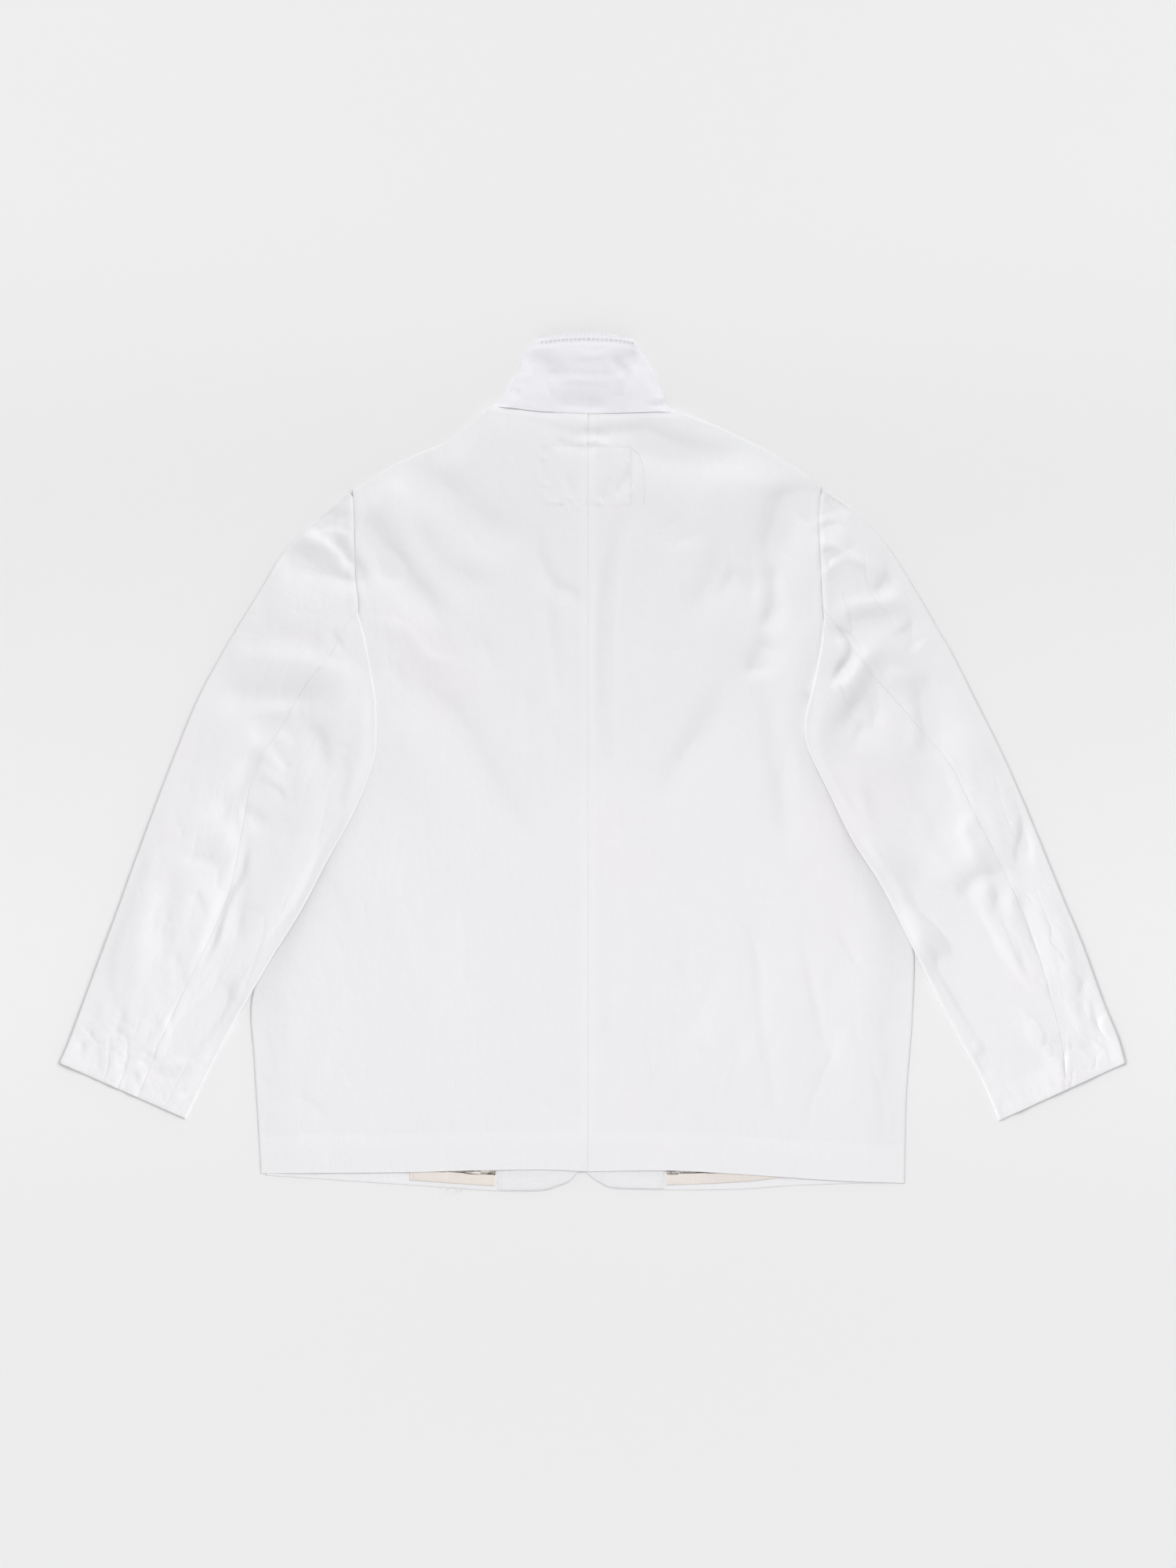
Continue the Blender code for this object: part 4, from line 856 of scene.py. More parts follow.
def back_height(x, y):
    """Height of the back's outer surface with its creases, apart from its rolled edges."""
    folds = crease_height(x, y, BODY_CREASES) * crumpled(x)
    for hand in ARMHOLE_CREASES:
        folds += crease_height(x, y, ARMHOLE_CREASES[hand])
    hem_y = np.where(x < 0, CONTOUR["left"]["hem"][0][1], CONTOUR["right"]["hem"][0][1])
    fade = smooth_step((y - hem_y - 22) / 46)
    wrinkles = body_wrinkles(x, y) * (0.25 + 0.75 * fade)
    height = back_base(x, y) + folds * fade + wrinkles + label_relief(x, y)
    return kept_over(BACK_LOWEST, height, BACK_SOFTNESS)


def rolled(distance, radius):
    """Share of its full height that cloth has at a distance from its folded edge."""
    left = np.clip(1 - distance / radius, 0.0, 1.0)
    return np.sqrt(1 - left * left)


def thinned(distance, least, taper=EDGE_TAPER):
    """Share of its full height that cloth has on its way to a folded edge."""
    return least + (1 - least) * smooth_step(distance / taper)


def patch(top, bottom, centre, side, across, down, top_across):
    """Rows of plan points inside four boundary curves."""
    upper, lower = at_share(top, top_across)[None], at_share(bottom, across)[None]
    inner, outer = at_share(centre, down)[:, None], at_share(side, down)[:, None]
    a, d = across[None, :, None], down[:, None, None]
    ruled = upper * (1 - d) + lower * d + inner * (1 - a) + outer * a
    corners = mix(mix(top[0], top[-1], a), mix(bottom[0], bottom[-1], a), d)
    return ruled - corners


def fine_ends(count, length):
    """Shares from 0 to 1, close together at the ends where the cloth rolls or meets a seam."""
    near = EDGE_STEPS / length
    return np.concatenate((near[:-1], np.linspace(near[-1], 1 - near[-1], count), 1 - near[-2::-1]))


def cloth_piece(name, points, material, doubled, grain=None, double_wall=None, missing=None):
    """A sheet of cloth from rows of points of its outer surface, in the plan's millimetres."""
    rows, columns = points.shape[:2]
    index = np.arange(rows * columns).reshape(rows, columns)
    corners = np.stack((index[:-1, :-1], index[1:, :-1], index[1:, 1:], index[:-1, 1:]), axis=-1)
    if missing is not None:
        corners = corners[~missing]
    corners = corners.reshape(-1, 4)
    flat = points.reshape(-1, 3)

    # The wall goes inward, so a face at the top of the piece has to look up
    a, b, c = (flat[corners[:, i]] for i in (0, 1, 2))
    normals = np.cross(b - a, c - a)
    level = np.abs(normals[:, 2]) > 0.8 * np.linalg.norm(normals, axis=1)
    top = np.argmax(np.where(level, a[:, 2] + b[:, 2] + c[:, 2], -1e9))
    if normals[top, 2] < 0:
        corners = corners[:, ::-1]
    mesh = bpy.data.meshes.new(name)
    mesh.from_pydata(((flat + PLAN_TO_FRAME) * MM).tolist(), [], corners.tolist())
    mesh.update()

    grain = flat[:, :2] if grain is None else grain.reshape(-1, 2)
    weave_map = mesh.uv_layers.new(name="grain")
    loops = np.empty(len(mesh.loops), np.int32)
    mesh.loops.foreach_get("vertex_index", loops)
    weave_map.data.foreach_set("uv", (grain[loops] * MM).astype(np.float32).ravel())
    mask = mesh.attributes.new("doubled", "FLOAT", "POINT")
    mask.data.foreach_set("value", doubled.reshape(-1).astype(np.float32))
    mesh.materials.append(material)
    mesh.shade_smooth()
    piece = bpy.data.objects.new(name, mesh)
    bpy.context.scene.collection.objects.link(piece)
    solidify = piece.modifiers.new("Cloth wall", "SOLIDIFY")
    solidify.thickness = CLOTH * MM
    solidify.offset = -1
    solidify.use_quality_normals = False
    if double_wall is not None:
        solidify.thickness = HEM_PLIES * CLOTH * MM
        solidify.thickness_vertex_group = 1 / HEM_PLIES
        hem = piece.vertex_groups.new(name="hem")
        values = double_wall.reshape(-1)
        for vertex in np.nonzero(values > 0.01)[0]:
            hem.add([int(vertex)], float(values[vertex]), "REPLACE")
        solidify.vertex_group = hem.name
    return piece


def turned_under(points, folded, axis):
    """Adds two lines of points that take an edge down and in: to the table where the edge is
    a fold, and a little way down, as a seam allowance, where it is sewn to another piece."""
    edge, inner = (points[:, -1], points[:, -2]) if axis == 1 else (points[0], points[1])
    inward = (inner - edge) * (1, 1, 0)
    inward /= np.linalg.norm(inward, axis=1)[:, None]
    down, under = edge.copy(), edge + TURN_WIDTH * inward
    for line, drop, height in zip((down, under), TURN_DROPS, TURN_HEIGHTS):
        line[:, 2] = mix(edge[:, 2] - drop, height, folded)
    if axis == 1:
        return np.concatenate((points, down[:, None], under[:, None]), axis=1)
    return np.concatenate((under[None], down[None], points), axis=0)


def back_panel(hand, material):
    contour = {part: curve_through(points, 24) for part, points in CONTOUR[hand].items()}
    top_edge = np.vstack((contour["neck"], contour["shoulder"][1:]))
    neck_end = run_lengths(contour["neck"])[-1] / run_lengths(top_edge)[-1]
    across, down = fine_ends(BACK_COLUMNS, BACK_WIDTH), fine_ends(BACK_ROWS, BACK_LENGTH)
    top_across = np.interp(across, (0, NECK_SHARE, 1), (0, neck_end, 1))
    centre = np.linspace(contour["neck"][0], contour["hem"][0], 40)
    plan = patch(top_edge, contour["hem"], centre, BODY_EDGE[hand], across, down, top_across)
    x, y = plan[..., 0], plan[..., 1]
    to_side = np.hypot(x - x[:, -1:], y - y[:, -1:])
    to_hem = np.hypot(x - x[-1:], y - y[-1:])
    to_top = np.hypot(x - x[:1], y - y[:1])
    height = back_height(x, y)
    beyond_neck = np.abs(x) - abs(CONTOUR[hand]["neck"][-1][0])
    at_neck = beyond_neck < 0
    underarm_y = CONTOUR[hand]["side"][0][1]

    # The centre back seam, its allowances pressed open behind it
    allowance = smooth_step((ALLOWANCE + 0.8 - np.abs(x)) / 1.6)
    height += ALLOWANCE_PLIES * allowance - 0.06 * bell(x, 1.3)
    drawn = smooth_step(value_noise(y / 13, y / 200, 21) + 0.4)
    height -= 0.12 * bell(np.abs(x) - 6, 3.5) * drawn

    # The neck and the armhole seams
    height -= NECK_DIP * bell(to_top, NECK_DIP_WIDTH) * at_neck
    pucker = 0.5 + 0.5 * value_noise(x / 11, y / 9, 22)
    height -= 0.5 * (SEAM_GROOVE + 0.3 * pucker) * bell(to_top, 2.0) * at_neck
    height += NECK_RIDGE * bell(to_top - RIDGE_OFFSET, 4) * at_neck * (0.7 + 0.3 * pucker)
    above = smooth_step((y - underarm_y) / 20)
    height -= (SEAM_GROOVE + 0.5 * pucker) * bell(to_side, 2.0) * above
    height += ARMHOLE_RIDGE * bell(to_side - RIDGE_OFFSET, 3) * above * pucker

    # The turned hem with its puckers
    hem = smooth_step((HEM_DEPTH + 1 - to_hem) / 5)
    height += 0.09 * (1 + value_noise(x / 31, y / 300, 24)) * hem
    stitched = smooth_step(0.2 + value_noise(x / 5.5, y / 400, 23))
    height -= 0.16 * stitched * bell(to_hem - HEM_DEPTH - 1, 3.4)
    for pucker in HEM_PUCKERS:
        run = bell(x - pucker.at - 0.1 * (to_hem - 20), pucker.width)
        height += pucker.depth * run * bell(to_hem - 19, 19)
    over_strips = 0
    for strip in STRIPS[hand].values():
        low, high = sorted((strip.inner_x, strip.outer_x))
        over_strips = over_strips + smooth_step((high + 4 - x) / 4) * smooth_step((x - low + 4) / 4)
    hem_edge = mix(HEM_EDGE, HEM_EDGE_OVER_STRIPS, np.clip(over_strips, 0, 1))
    height = mix(hem_edge, height, smooth_step(0.15 + to_hem / 38))

    # The folds at the side and the shoulder
    fold = smooth_step((underarm_y + 10 - y[:, -1:]) / 12)
    height *= 1 - fold * (1 - thinned(to_side, BODY_EDGE_SHARE) * rolled(to_side, EDGE_ROLL))
    to_shoulder = 0.9 * (shoulder_y(hand, x) - y)
    over_shoulder = 1 - smooth_step(beyond_neck / 30) * (1 - thinned(to_shoulder, BODY_EDGE_SHARE))
    height *= np.where(at_neck, 1.0, over_shoulder * rolled(to_shoulder, EDGE_ROLL))
    points = np.dstack((x, y, np.maximum(EDGE_FOOT, height)))
    points = turned_under(points, fold[:, 0], 1)
    points = turned_under(points, np.append(1 - at_neck[0].astype(float), (1.0, 1.0)), 0)
    doubled = np.clip(hem + 0.8 * allowance * (1 - hem), 0, 1)
    turned_up = smooth_step((HEM_DEPTH - to_hem) / 2.5)
    doubled, turned_up = (np.pad(mask, ((2, 0), (0, 2)), mode="edge") for mask in (doubled, turned_up))
    return cloth_piece("back_cloth_" + hand, points, material, doubled, double_wall=turned_up)


def front_panel(hand, material):
    """A front, flat on the table inside the rolled edges of the back."""
    contour = CONTOUR[hand]
    sign = -1 if hand == "left" else 1
    neck_x, neck_y = contour["neck"][-1]
    shoulder = [(x - sign * 1.5, y - FRONT_INSET) for x, y in contour["shoulder"]]
    neck_point = (neck_x - sign * 4, neck_y - FRONT_INSET)
    top = np.vstack(([contour["front_edge"][0]], curve_through([neck_point] + shoulder[1:])))
    armhole = [(x - sign, y) for x, y in contour["armhole"][1:-1]]
    side = [(x - sign * FRONT_INSET, y) for x, y in contour["side"][:-1]]
    edge_run = curve_through([shoulder[-1]] + armhole + side + [contour["front_hem"][-1]])
    across = fine_ends(FRONT_COLUMNS, FRONT_WIDTH)
    down = np.concatenate((np.linspace(0, 0.93, 40), 1 - EDGE_STEPS[::-1] / FRONT_LENGTH))
    plan = patch(top, curve_through(contour["front_hem"]), curve_through(contour["front_edge"]),
                 edge_run, across, down, across)
    x, y = plan[..., 0], plan[..., 1]
    to_hem = np.hypot(x - x[-1:], y - y[-1:])
    height = TABLE_CLOTH - 0.25 * bell(to_hem, 1.2)
    height += 0.12 * smooth_step((16 - to_hem) / 4) * value_noise(x / 14, y / 30, 31)
    points = np.dstack((x, y, height))
    return cloth_piece("front_cloth_" + hand, points, material, smooth_step((20 - to_hem) / 3))


def front_hem_y(hand, x):
    run = curve_through(CONTOUR[hand]["front_hem"], 24)
    if hand == "left":
        run = run[::-1]
    return np.interp(x, run[:, 0], run[:, 1])


def strip_under_hem(name, hand, strip, material):
    """A strip of cloth on the front, whose lower end shows below the back's hem."""
    share = fine_ends(STRIP_COLUMNS, abs(strip.outer_x - strip.inner_x))
    x = mix(strip.inner_x, strip.outer_x, share)
    bottom = front_hem_y(hand, x) + mix(strip.inner_drop, strip.outer_drop, share)
    near_end = 1.6 * EDGE_STEPS[::-1] / (strip.top_y - STRIP_LOW_Y)
    down = np.concatenate((np.linspace(0, 0.94, 34), 1 - near_end))
    y = mix(strip.top_y, bottom[None], down[:, None])
    x = np.repeat(x[None], len(down), axis=0)
    to_end = y - bottom[None]
    to_side = np.minimum(np.abs(x - strip.inner_x), np.abs(x - strip.outer_x))
    waves = strip.wave * value_noise(x / 17, y / 24, strip.seed)
    height = FACING_TOP + waves * smooth_step(to_side / 8)
    height -= 0.45 * bell(to_end, 1.4) + 0.35 * bell(to_side, 1.2)
    points = np.dstack((x, y, np.maximum(height, TABLE_CLOTH + CLOTH + 0.02)))
    return cloth_piece(name, points, material, smooth_step((14 - to_end) / 2))


def sleeve_frame(hand, places):
    """The folded edges of the flattened sleeve at places down its stations."""
    values = between(SLEEVE[hand], places)
    outer, inner = values[:, 0:2], values[:, 2:4]
    sewn = smooth_step((ARMHOLE_STATION - places) / 0.6)
    on_body = np.sign(inner[:, 0]) * (edge_x(hand, inner[:, 1]) + SEAM_GAP)
    inner[:, 0] += (on_body - inner[:, 0]) * sewn
    seam = np.where(places > LAST_OPEN_STATION, np.minimum(1.0, values[:, 4]), 1.0)
    over = np.where(places > LAST_OPEN_STATION, np.clip(values[:, 5], 0, 1.05), 0.0)
    width = np.linalg.norm(inner - outer, axis=1)
    return outer, inner, (inner - outer) / width[:, None], width, seam, over


def distance_to_body(hand, outer, inner, width):
    """How far the body's edge lies from a sleeve's inner fold, along each of its rows."""
    steps = np.linspace(0, 1, 241)
    spots = inner[:, None] + (outer - inner)[:, None] * steps[None, :, None]
    outside = np.abs(spots[..., 0]) >= edge_x(hand, spots[..., 1])
    first = np.where(outside.any(axis=1), outside.argmax(axis=1), 0)
    return width * steps[first]


def under_sleeve_height(hand, x, y, reach, start, base):
    """Height of what lies under a sleeve: the back's rolled edge, or the table."""
    inside = edge_x(hand, y) - np.abs(x)
    return smooth_step((inside + start) / reach) * base


def gathered(hand, share_down):
    """How much deeper a sleeve's creases are than their own depths, from its top to its cuff."""
    at_top, at_cuff = SLEEVE_DEPTH[hand]
    return mix(at_top, at_cuff, smooth_step(3 * share_down - 0.9))


def sleeve_wrinkles(hand, x, y, share_down):
    """Small unevenness of the sleeve's cloth, which runs with the sleeve and gathers at its cuff."""
    angle, seed = (22, 41) if hand == "left" else (-22, 51)
    at_forearm = 0.5 + 0.5 * smooth_step(3 * share_down - 1.6)
    at_cuff = 0.3 + 0.7 * smooth_step(4 * share_down - 2.6)
    height = rumple(x, y, 22, 70, -angle, 0.6, seed)
    height += rumple(x, y, 11, 26, -angle, 0.3, seed + 1)
    height += crinkles(x, y, 18, 90, -angle, 0.9, seed + 2)
    height += crinkles(x, y, 13, 34, -angle * 2.2, 0.7, seed + 3) * at_forearm
    height += crinkles(x, y, 10, 22, 60 - angle, 0.45, seed + 4) * at_cuff
    return height * gathered(hand, share_down)


def sleeve_piece(hand, piece, material):
    """One half of a flattened sleeve.

    Each row runs round the sleeve. The top sleeve starts at the elbow seam on the upper layer,
    rolls over the outer edge and ends at the forearm seam on the lower layer. The under sleeve
    does the same round the inner edge.
    """
    last = len(SLEEVE[hand]) - 1
    is_top = piece == "top"
    first = 0.0 if is_top else UNDER_SLEEVE_START
    rows = SLEEVE_ROWS if is_top else round(SLEEVE_ROWS * (last - first) / last)
    at_cuff = (0.9885, 0.992, 0.995, 0.9975, 0.999, 1.0)
    places = first + (last - first) * np.concatenate((np.linspace(0, 0.985, rows), at_cuff))
    outer, inner, along, width, seam, over = sleeve_frame(hand, places)
    own_width = width if is_top else width * (1 - seam)
    radius = np.minimum(SLEEVE_ROLL, 0.3 * own_width)
    open_share = smooth_step((places - LAST_OPEN_STATION) / 1.6)
    station = places[:, None]
    share_down = station / last
    thickness = mix(SLEEVE_THICKNESS, CUFF_THICKNESS, smooth_step(4 * share_down - 3))
    body_at = distance_to_body(hand, outer, inner, width)
    back_at_inner = back_height(inner[:, 0], inner[:, 1])
    back_at_inner -= crease_height(inner[:, 0], inner[:, 1], ARMHOLE_CREASES[hand])
    below_shoulder = 0.9 * (shoulder_y(hand, inner[:, 0]) - inner[:, 1])
    flattened = thinned(below_shoulder, BODY_EDGE_SHARE) * rolled(below_shoulder, EDGE_ROLL)
    back_at_inner = (back_at_inner * np.maximum(0.2, flattened))[:, None]
    cuff_way = (inner[-1] - outer[-1]) / np.linalg.norm(inner[-1] - outer[-1])
    rest = mix(SLEEVE_REST_AT_ARMHOLE, SLEEVE_REST, smooth_step((station - LOOSE_STATION) / 3.5))
    near_cuff = smooth_step(8 * share_down - 7)

    def spots(from_outer):
        place = outer[:, None] + along[:, None] * from_outer[..., None]
        return place[..., 0], place[..., 1]

    def lower(x, y):
        base = back_base(x, y) + 0.4
        lift = under_sleeve_height(hand, x, y, 16.0, 20.0, base + rest)
        return lift * open_share[:, None]

    def upper(from_outer):
        x, y = spots(from_outer)
        share = from_outer / width[:, None]
        joined = back_at_inner + over[:, None] * (SLEEVE_REST + thickness)
        to_inner = width[:, None] - from_outer
        loose = smooth_step((station - LOOSE_STATION) / 3)
        at_edge = thinned(from_outer, SLEEVE_OUTER_EDGE / thickness, SLEEVE_OUTER_TAPER[hand])
        at_inner = thinned(to_inner, SLEEVE_EDGE / thickness, SLEEVE_INNER_TAPER)
        at_edge = at_edge * (1 - loose * (1 - at_inner))
        sewn = mix((thickness + ARMHOLE_PUFF) * at_edge, joined, smooth_step(share))
        under = under_sleeve_height(hand, x, y, 50.0, 45.0, back_base(x, y) + SLEEVE_REST)
        level = mix(sewn, under + thickness * at_edge, loose)
        edges = smooth_step(from_outer / 18) * smooth_step(to_inner / 8)
        folds = crease_height(x, y, SLEEVE_CREASES[hand]) * edges * gathered(hand, share_down)
        folds += crease_height(x, y, ARMHOLE_CREASES[hand]) * smooth_step(from_outer / 5)
        off_cuff = np.abs((x - outer[-1][0]) * cuff_way[1] - (y - outer[-1][1]) * cuff_way[0])
        folds *= 0.3 + 0.7 * smooth_step((off_cuff - 4) / 28)
        height = level + folds + sleeve_wrinkles(hand, x, y, share_down) * (0.3 + 0.7 * edges)

        # The sleeve's head, eased into the armhole, and the elbow seam
        armhole = smooth_step((ARMHOLE_STATION - station) / 0.8)
        ease = 0.5 + 0.5 * value_noise(y / 10, x / 40, 61)
        height += armhole * (SLEEVE_HEAD * bell(to_inner - 5, 5) * (0.5 + ease)
                             - SEAM_GROOVE * (1 + ease) * bell(to_inner, 2.2))
        height += armhole * 0.8 * (ease - 0.5) * bell(to_inner - 12, 8)
        to_seam = np.abs(from_outer - seam[:, None] * width[:, None])
        ruffle = value_noise(station * 4.5, 0.2 * share, 62)
        height -= (1 - armhole) * (0.07 + 0.07 * ruffle) * bell(to_seam, SEAM_GROOVE_WIDTH)
        height += (1 - armhole) * (0.12 + 0.3 * ruffle) * bell(to_seam - 4.5, 3.2)

        # The turned cuff
        turned_up = smooth_step((CUFF_DEPTH - off_cuff) / 3)
        height += 0.12 * smooth_step((CUFF_DEPTH + 2 - off_cuff) / 7)
        stitched = smooth_step(0.2 + value_noise(from_outer / 5, share, 63))
        height -= 0.12 * stitched * bell(off_cuff - CUFF_DEPTH - 1, 3.2)
        for pucker in CUFF_PUCKERS[hand]:
            run = bell(from_outer - pucker.at - 0.25 * (off_cuff - 16), pucker.width)
            height += pucker.depth * run * bell(off_cuff - 17, 17)
        height -= 0.3 * bell(off_cuff, 1.5)
        walls = mix(SLEEVE_WALLS, CUFF_WALLS, near_cuff)
        inside = smooth_step((station - LOOSE_STATION) / 3.5) * (SLEEVE_LEAST - walls)
        inside = inside * (1 - near_cuff) * smooth_step(np.minimum(from_outer, to_inner) / EDGE_TAPER)
        height = kept_over(lower(x, y) + walls + inside, height, SLEEVE_SOFTNESS)
        return np.dstack((x, y, height)), turned_up

    # The upper layer, from the elbow seam to the folded edge
    gap = SEAM_GAP / 2
    edge, direction = (np.zeros_like(width), 1.0) if is_top else (width, -1.0)
    columns = TOP_SLEEVE_COLUMNS if is_top else UNDER_SLEEVE_COLUMNS
    seam_at = seam * width - direction * gap
    reach = (direction * (seam_at - edge) - radius)[:, None]
    near = np.minimum(EDGE_STEPS[:6], 0.03 * np.arange(6) * reach)
    beyond = near[:, -1:] + np.linspace(0, 1, columns)[1:] * (reach - near[:, -1:])
    top_points, turned_up = upper(seam_at[:, None] - direction * np.hstack((near, beyond)))

    # The roll over the edge
    high = top_points[:, -1:, 2]
    low = lower(*spots((edge + direction * radius)[:, None]))
    angles = np.radians((76, 62, 48, 34, 20, 6, -10, -30, -55, -90))
    x, y = spots(edge[:, None] + direction * radius[:, None] * (1 - np.cos(angles)))
    roll_points = np.dstack((x, y, (high + low) / 2 + (high - low) / 2 * np.sin(angles)))

    # The lower layer, as far as the forearm seam
    forearm_share = smooth_step((places - LAST_OPEN_STATION) / (UNDERARM_STATION - LAST_OPEN_STATION))
    forearm = width * (1 - (1 - FOREARM_SEAM) * forearm_share)
    returned = np.maximum(radius + 2.0, body_at)
    forearm = np.minimum(forearm, width - returned - 3.0)
    layers = [top_points, roll_points]
    if is_top:
        start, steps = radius, np.linspace(0, 1, 8)[1:]
        end = np.where(places <= LAST_OPEN_STATION, width - body_at - 0.4, forearm - gap)
    else:
        return_end = width - returned
        start = return_end - np.where(places < UNDERARM_STATION, 0.4, STEP_DOWN)
        end, steps = np.minimum(forearm + gap, start - 0.2), np.linspace(0, 1, 5)
        x, y = spots(np.stack(((width - radius + return_end) / 2, return_end), axis=1))
        layers.append(np.dstack((x, y, lower(x, y))))
    x, y = spots(mix(start[:, None], end[:, None], steps))
    layers.append(np.dstack((x, y, np.zeros(x.shape))))
    points = np.hstack(layers)

    # Above the underarm, the layer over the body isn't joined to the one on the floor
    missing = None
    if not is_top:
        missing = np.zeros((points.shape[0] - 1, points.shape[1] - 1), bool)
        step_column = top_points.shape[1] + roll_points.shape[1] + 1
        missing[places[:-1] < UNDERARM_STATION, step_column] = True
    behind = points.shape[1] - turned_up.shape[1]
    double = np.hstack((turned_up, np.repeat(turned_up[:, -1:], behind, axis=1)))
    return cloth_piece(f"sleeve_cloth_{hand}_{piece}", points, material, double,
                       grain=sleeve_grain(points, places), double_wall=double, missing=missing)


def sleeve_grain(points, places):
    """Threads that run round and along the sleeve."""
    round_steps = np.linalg.norm(np.diff(points, axis=1), axis=2)
    around = np.hstack((np.zeros((len(points), 1)), np.cumsum(round_steps, axis=1)))
    along = np.repeat((places * SLEEVE_STATION_PITCH)[:, None], points.shape[1], axis=1)
    return np.dstack((around, along))


def collar_layer(name, offset, material):
    """One layer of the turned-up collar: its back stretch, rolled sides and returns."""
    last = len(COLLAR) - 1
    share_up = np.concatenate(((0.0, 0.006, 0.014, 0.026, 0.045), np.linspace(0.07, 0.93, 50),
                               (0.95, 0.965, 0.978, 0.988, 0.995, 1.0)))
    share_up = np.maximum(share_up, 0.01 * offset)
    station, below, above = (between(COLLAR, np.clip(share_up * last + step, 0, last))
                             for step in (0.0, -0.5, 0.5))

    def side_fold(column, direction):
        slant = (above[:, column] - below[:, column]) / (above[:, column + 1] - below[:, column + 1])
        x = station[:, column] + direction * offset * np.hypot(1, slant)
        return np.stack((x, station[:, column + 1]), axis=1)

    left, right = side_fold(0, 1), side_fold(2, -1)
    up = share_up[:, None]
    low = offset
    high = COLLAR_THICKNESS - COLLAR_THINNING * up - offset
    radius = COLLAR_ROLL - offset
    width = np.linalg.norm(right - left, axis=1)[:, None]
    edge, returned = radius / width, COLLAR_RETURN / width

    def spots(share):
        place = left[:, None] + (right - left)[:, None] * share[..., None]
        crown = 4 * share * (1 - share) * COLLAR_CROWN * up
        corner_gap = COLLAR_CORNER_GAP * (2 * share - 1) ** 4
        on_seam = neck_y(place[..., 0]) + SEAM_GAP + corner_gap - place[..., 1]
        pull = 1 - smooth_step(2.5 * up)
        return place[..., 0], place[..., 1] + crown + pull * on_seam

    def surface(share):
        x, y = spots(share)
        to_seam = y - neck_y(x)
        near_top = (1 - up) * COLLAR_HEIGHT
        near_fold = smooth_step(0.1 + np.minimum(share, 1 - share) * width / 20)
        flat = COLLAR_EDGE + 0.3 - offset
        level = flat + (high - flat) * near_fold * smooth_step(0.25 + near_top / 22)
        base = back_base(x, np.minimum(y, 0)) - NECK_DIP + 0.25 - offset
        height = mix(mix(flat, base, near_fold), level, smooth_step(to_seam / 48))
        fade = smooth_step(to_seam / 8) * smooth_step((1.03 - up) / 0.12)
        height += COLLAR_DEPTH * crease_height(x, y, COLLAR_CREASES) * fade
        height += rumple(x, y, 24, 16, 0, 0.5, 71)
        if offset == 0:
            height += crinkles(x, y, 60, 10, 4, 0.35, 72)
            pull = value_noise(x / 3.4, y / 60, 73)
            height += (0.35 * pull + 0.25) * bell(near_top - 4.5, 3.0)
            height -= 0.45 * bell(near_top - 7.6, 1.1)
            height -= 0.1 * bell(to_seam, 1.6)
            height += 0.2 * bell(to_seam - 6, 3)
            height -= 1.2 * (1 - rolled(near_top, 3.2))
        else:
            height -= 1.2 + 0.6 * (1 - rolled(near_top, 3.0))
        return x, y, height

    x, y, height = surface(edge + (1 - 2 * edge) * np.linspace(0, 1, 72)[None])
    middle_points = np.dstack((x, y, height))
    angles = np.radians((-90, -60, -35, -10, 10, 30, 50, 70))

    def roll(high_at, mirrored):
        turn = angles[::-1] if mirrored else angles
        share = edge * (1 - np.cos(turn))[None]
        x, y = spots(1 - share if mirrored else share)
        return np.dstack((x, y, (high_at + low) / 2 + (high_at - low) / 2 * np.sin(turn)))

    def back_return(mirrored):
        steps = np.linspace(0, 1, 7)[None]
        share = mix(edge, returned, steps[:, 1:] if mirrored else steps[:, :0:-1])
        x, y = spots(1 - share if mirrored else share)
        return np.dstack((x, y, np.full(x.shape, float(low))))

    points = np.hstack((
        back_return(False), roll(height[:, :1], False), middle_points,
        roll(height[:, -1:], True), back_return(True)))
    doubled = np.repeat(smooth_step((0.16 - (1 - up)) / 0.03), points.shape[1], axis=1)
    for (low_x, low_y), (high_x, high_y) in COLLAR_RETURN_ENDS:
        across = low_x + (points[..., 1] - low_y) * (high_x - low_x) / (high_y - low_y)
        beyond = smooth_step((points[..., 0] - across) * np.sign(low_x) / 4)
        doubled = np.maximum(doubled, COLLAR_PLIES * beyond * (points[..., 1] < high_y + 4))
    return cloth_piece(name, points, material, doubled)


def height_on(piece):
    """A function that gives the height of a piece's outer surface at a point of the plan."""
    bpy.context.view_layer.update()

    def surface(x, y):
        above = (np.array((x, y, 60.0)) + PLAN_TO_FRAME) * MM
        hit, place, _, _ = piece.ray_cast(Vector(above), Vector((0, 0, -1)))
        return place.z / MM if hit else 0.0

    return surface


def feed(tree, value, socket):
    """Gives a socket its value, or links it to the output of another node."""
    if hasattr(value, "is_linked"):
        tree.links.new(value, socket)
    else:
        socket.default_value = value


def node(tree, kind, **inputs):
    """A new shader node, with values or links for its inputs."""
    made = tree.nodes.new("ShaderNode" + kind)
    for label, value in inputs.items():
        feed(tree, value, made.inputs[label])
    return made


def new_group(name, inputs, outputs):
    """An empty group of shader nodes. An input without a value is a vector."""
    group = bpy.data.node_groups.new(name, "ShaderNodeTree")
    for label, value in inputs.items():
        kind = "NodeSocketVector" if value is None else "NodeSocketFloat"
        socket = group.interface.new_socket(name=label, in_out="INPUT", socket_type=kind)
        if value is not None:
            socket.default_value = value
    for label in outputs:
        group.interface.new_socket(name=label, in_out="OUTPUT", socket_type="NodeSocketFloat")
    return group, group.nodes.new("NodeGroupInput").outputs, group.nodes.new("NodeGroupOutput").inputs


def maths(tree, kind, *values):
    made = node(tree, "Math")
    made.operation = kind
    for value, socket in zip(values, made.inputs):
        feed(tree, value, socket)
    return made.outputs[0]


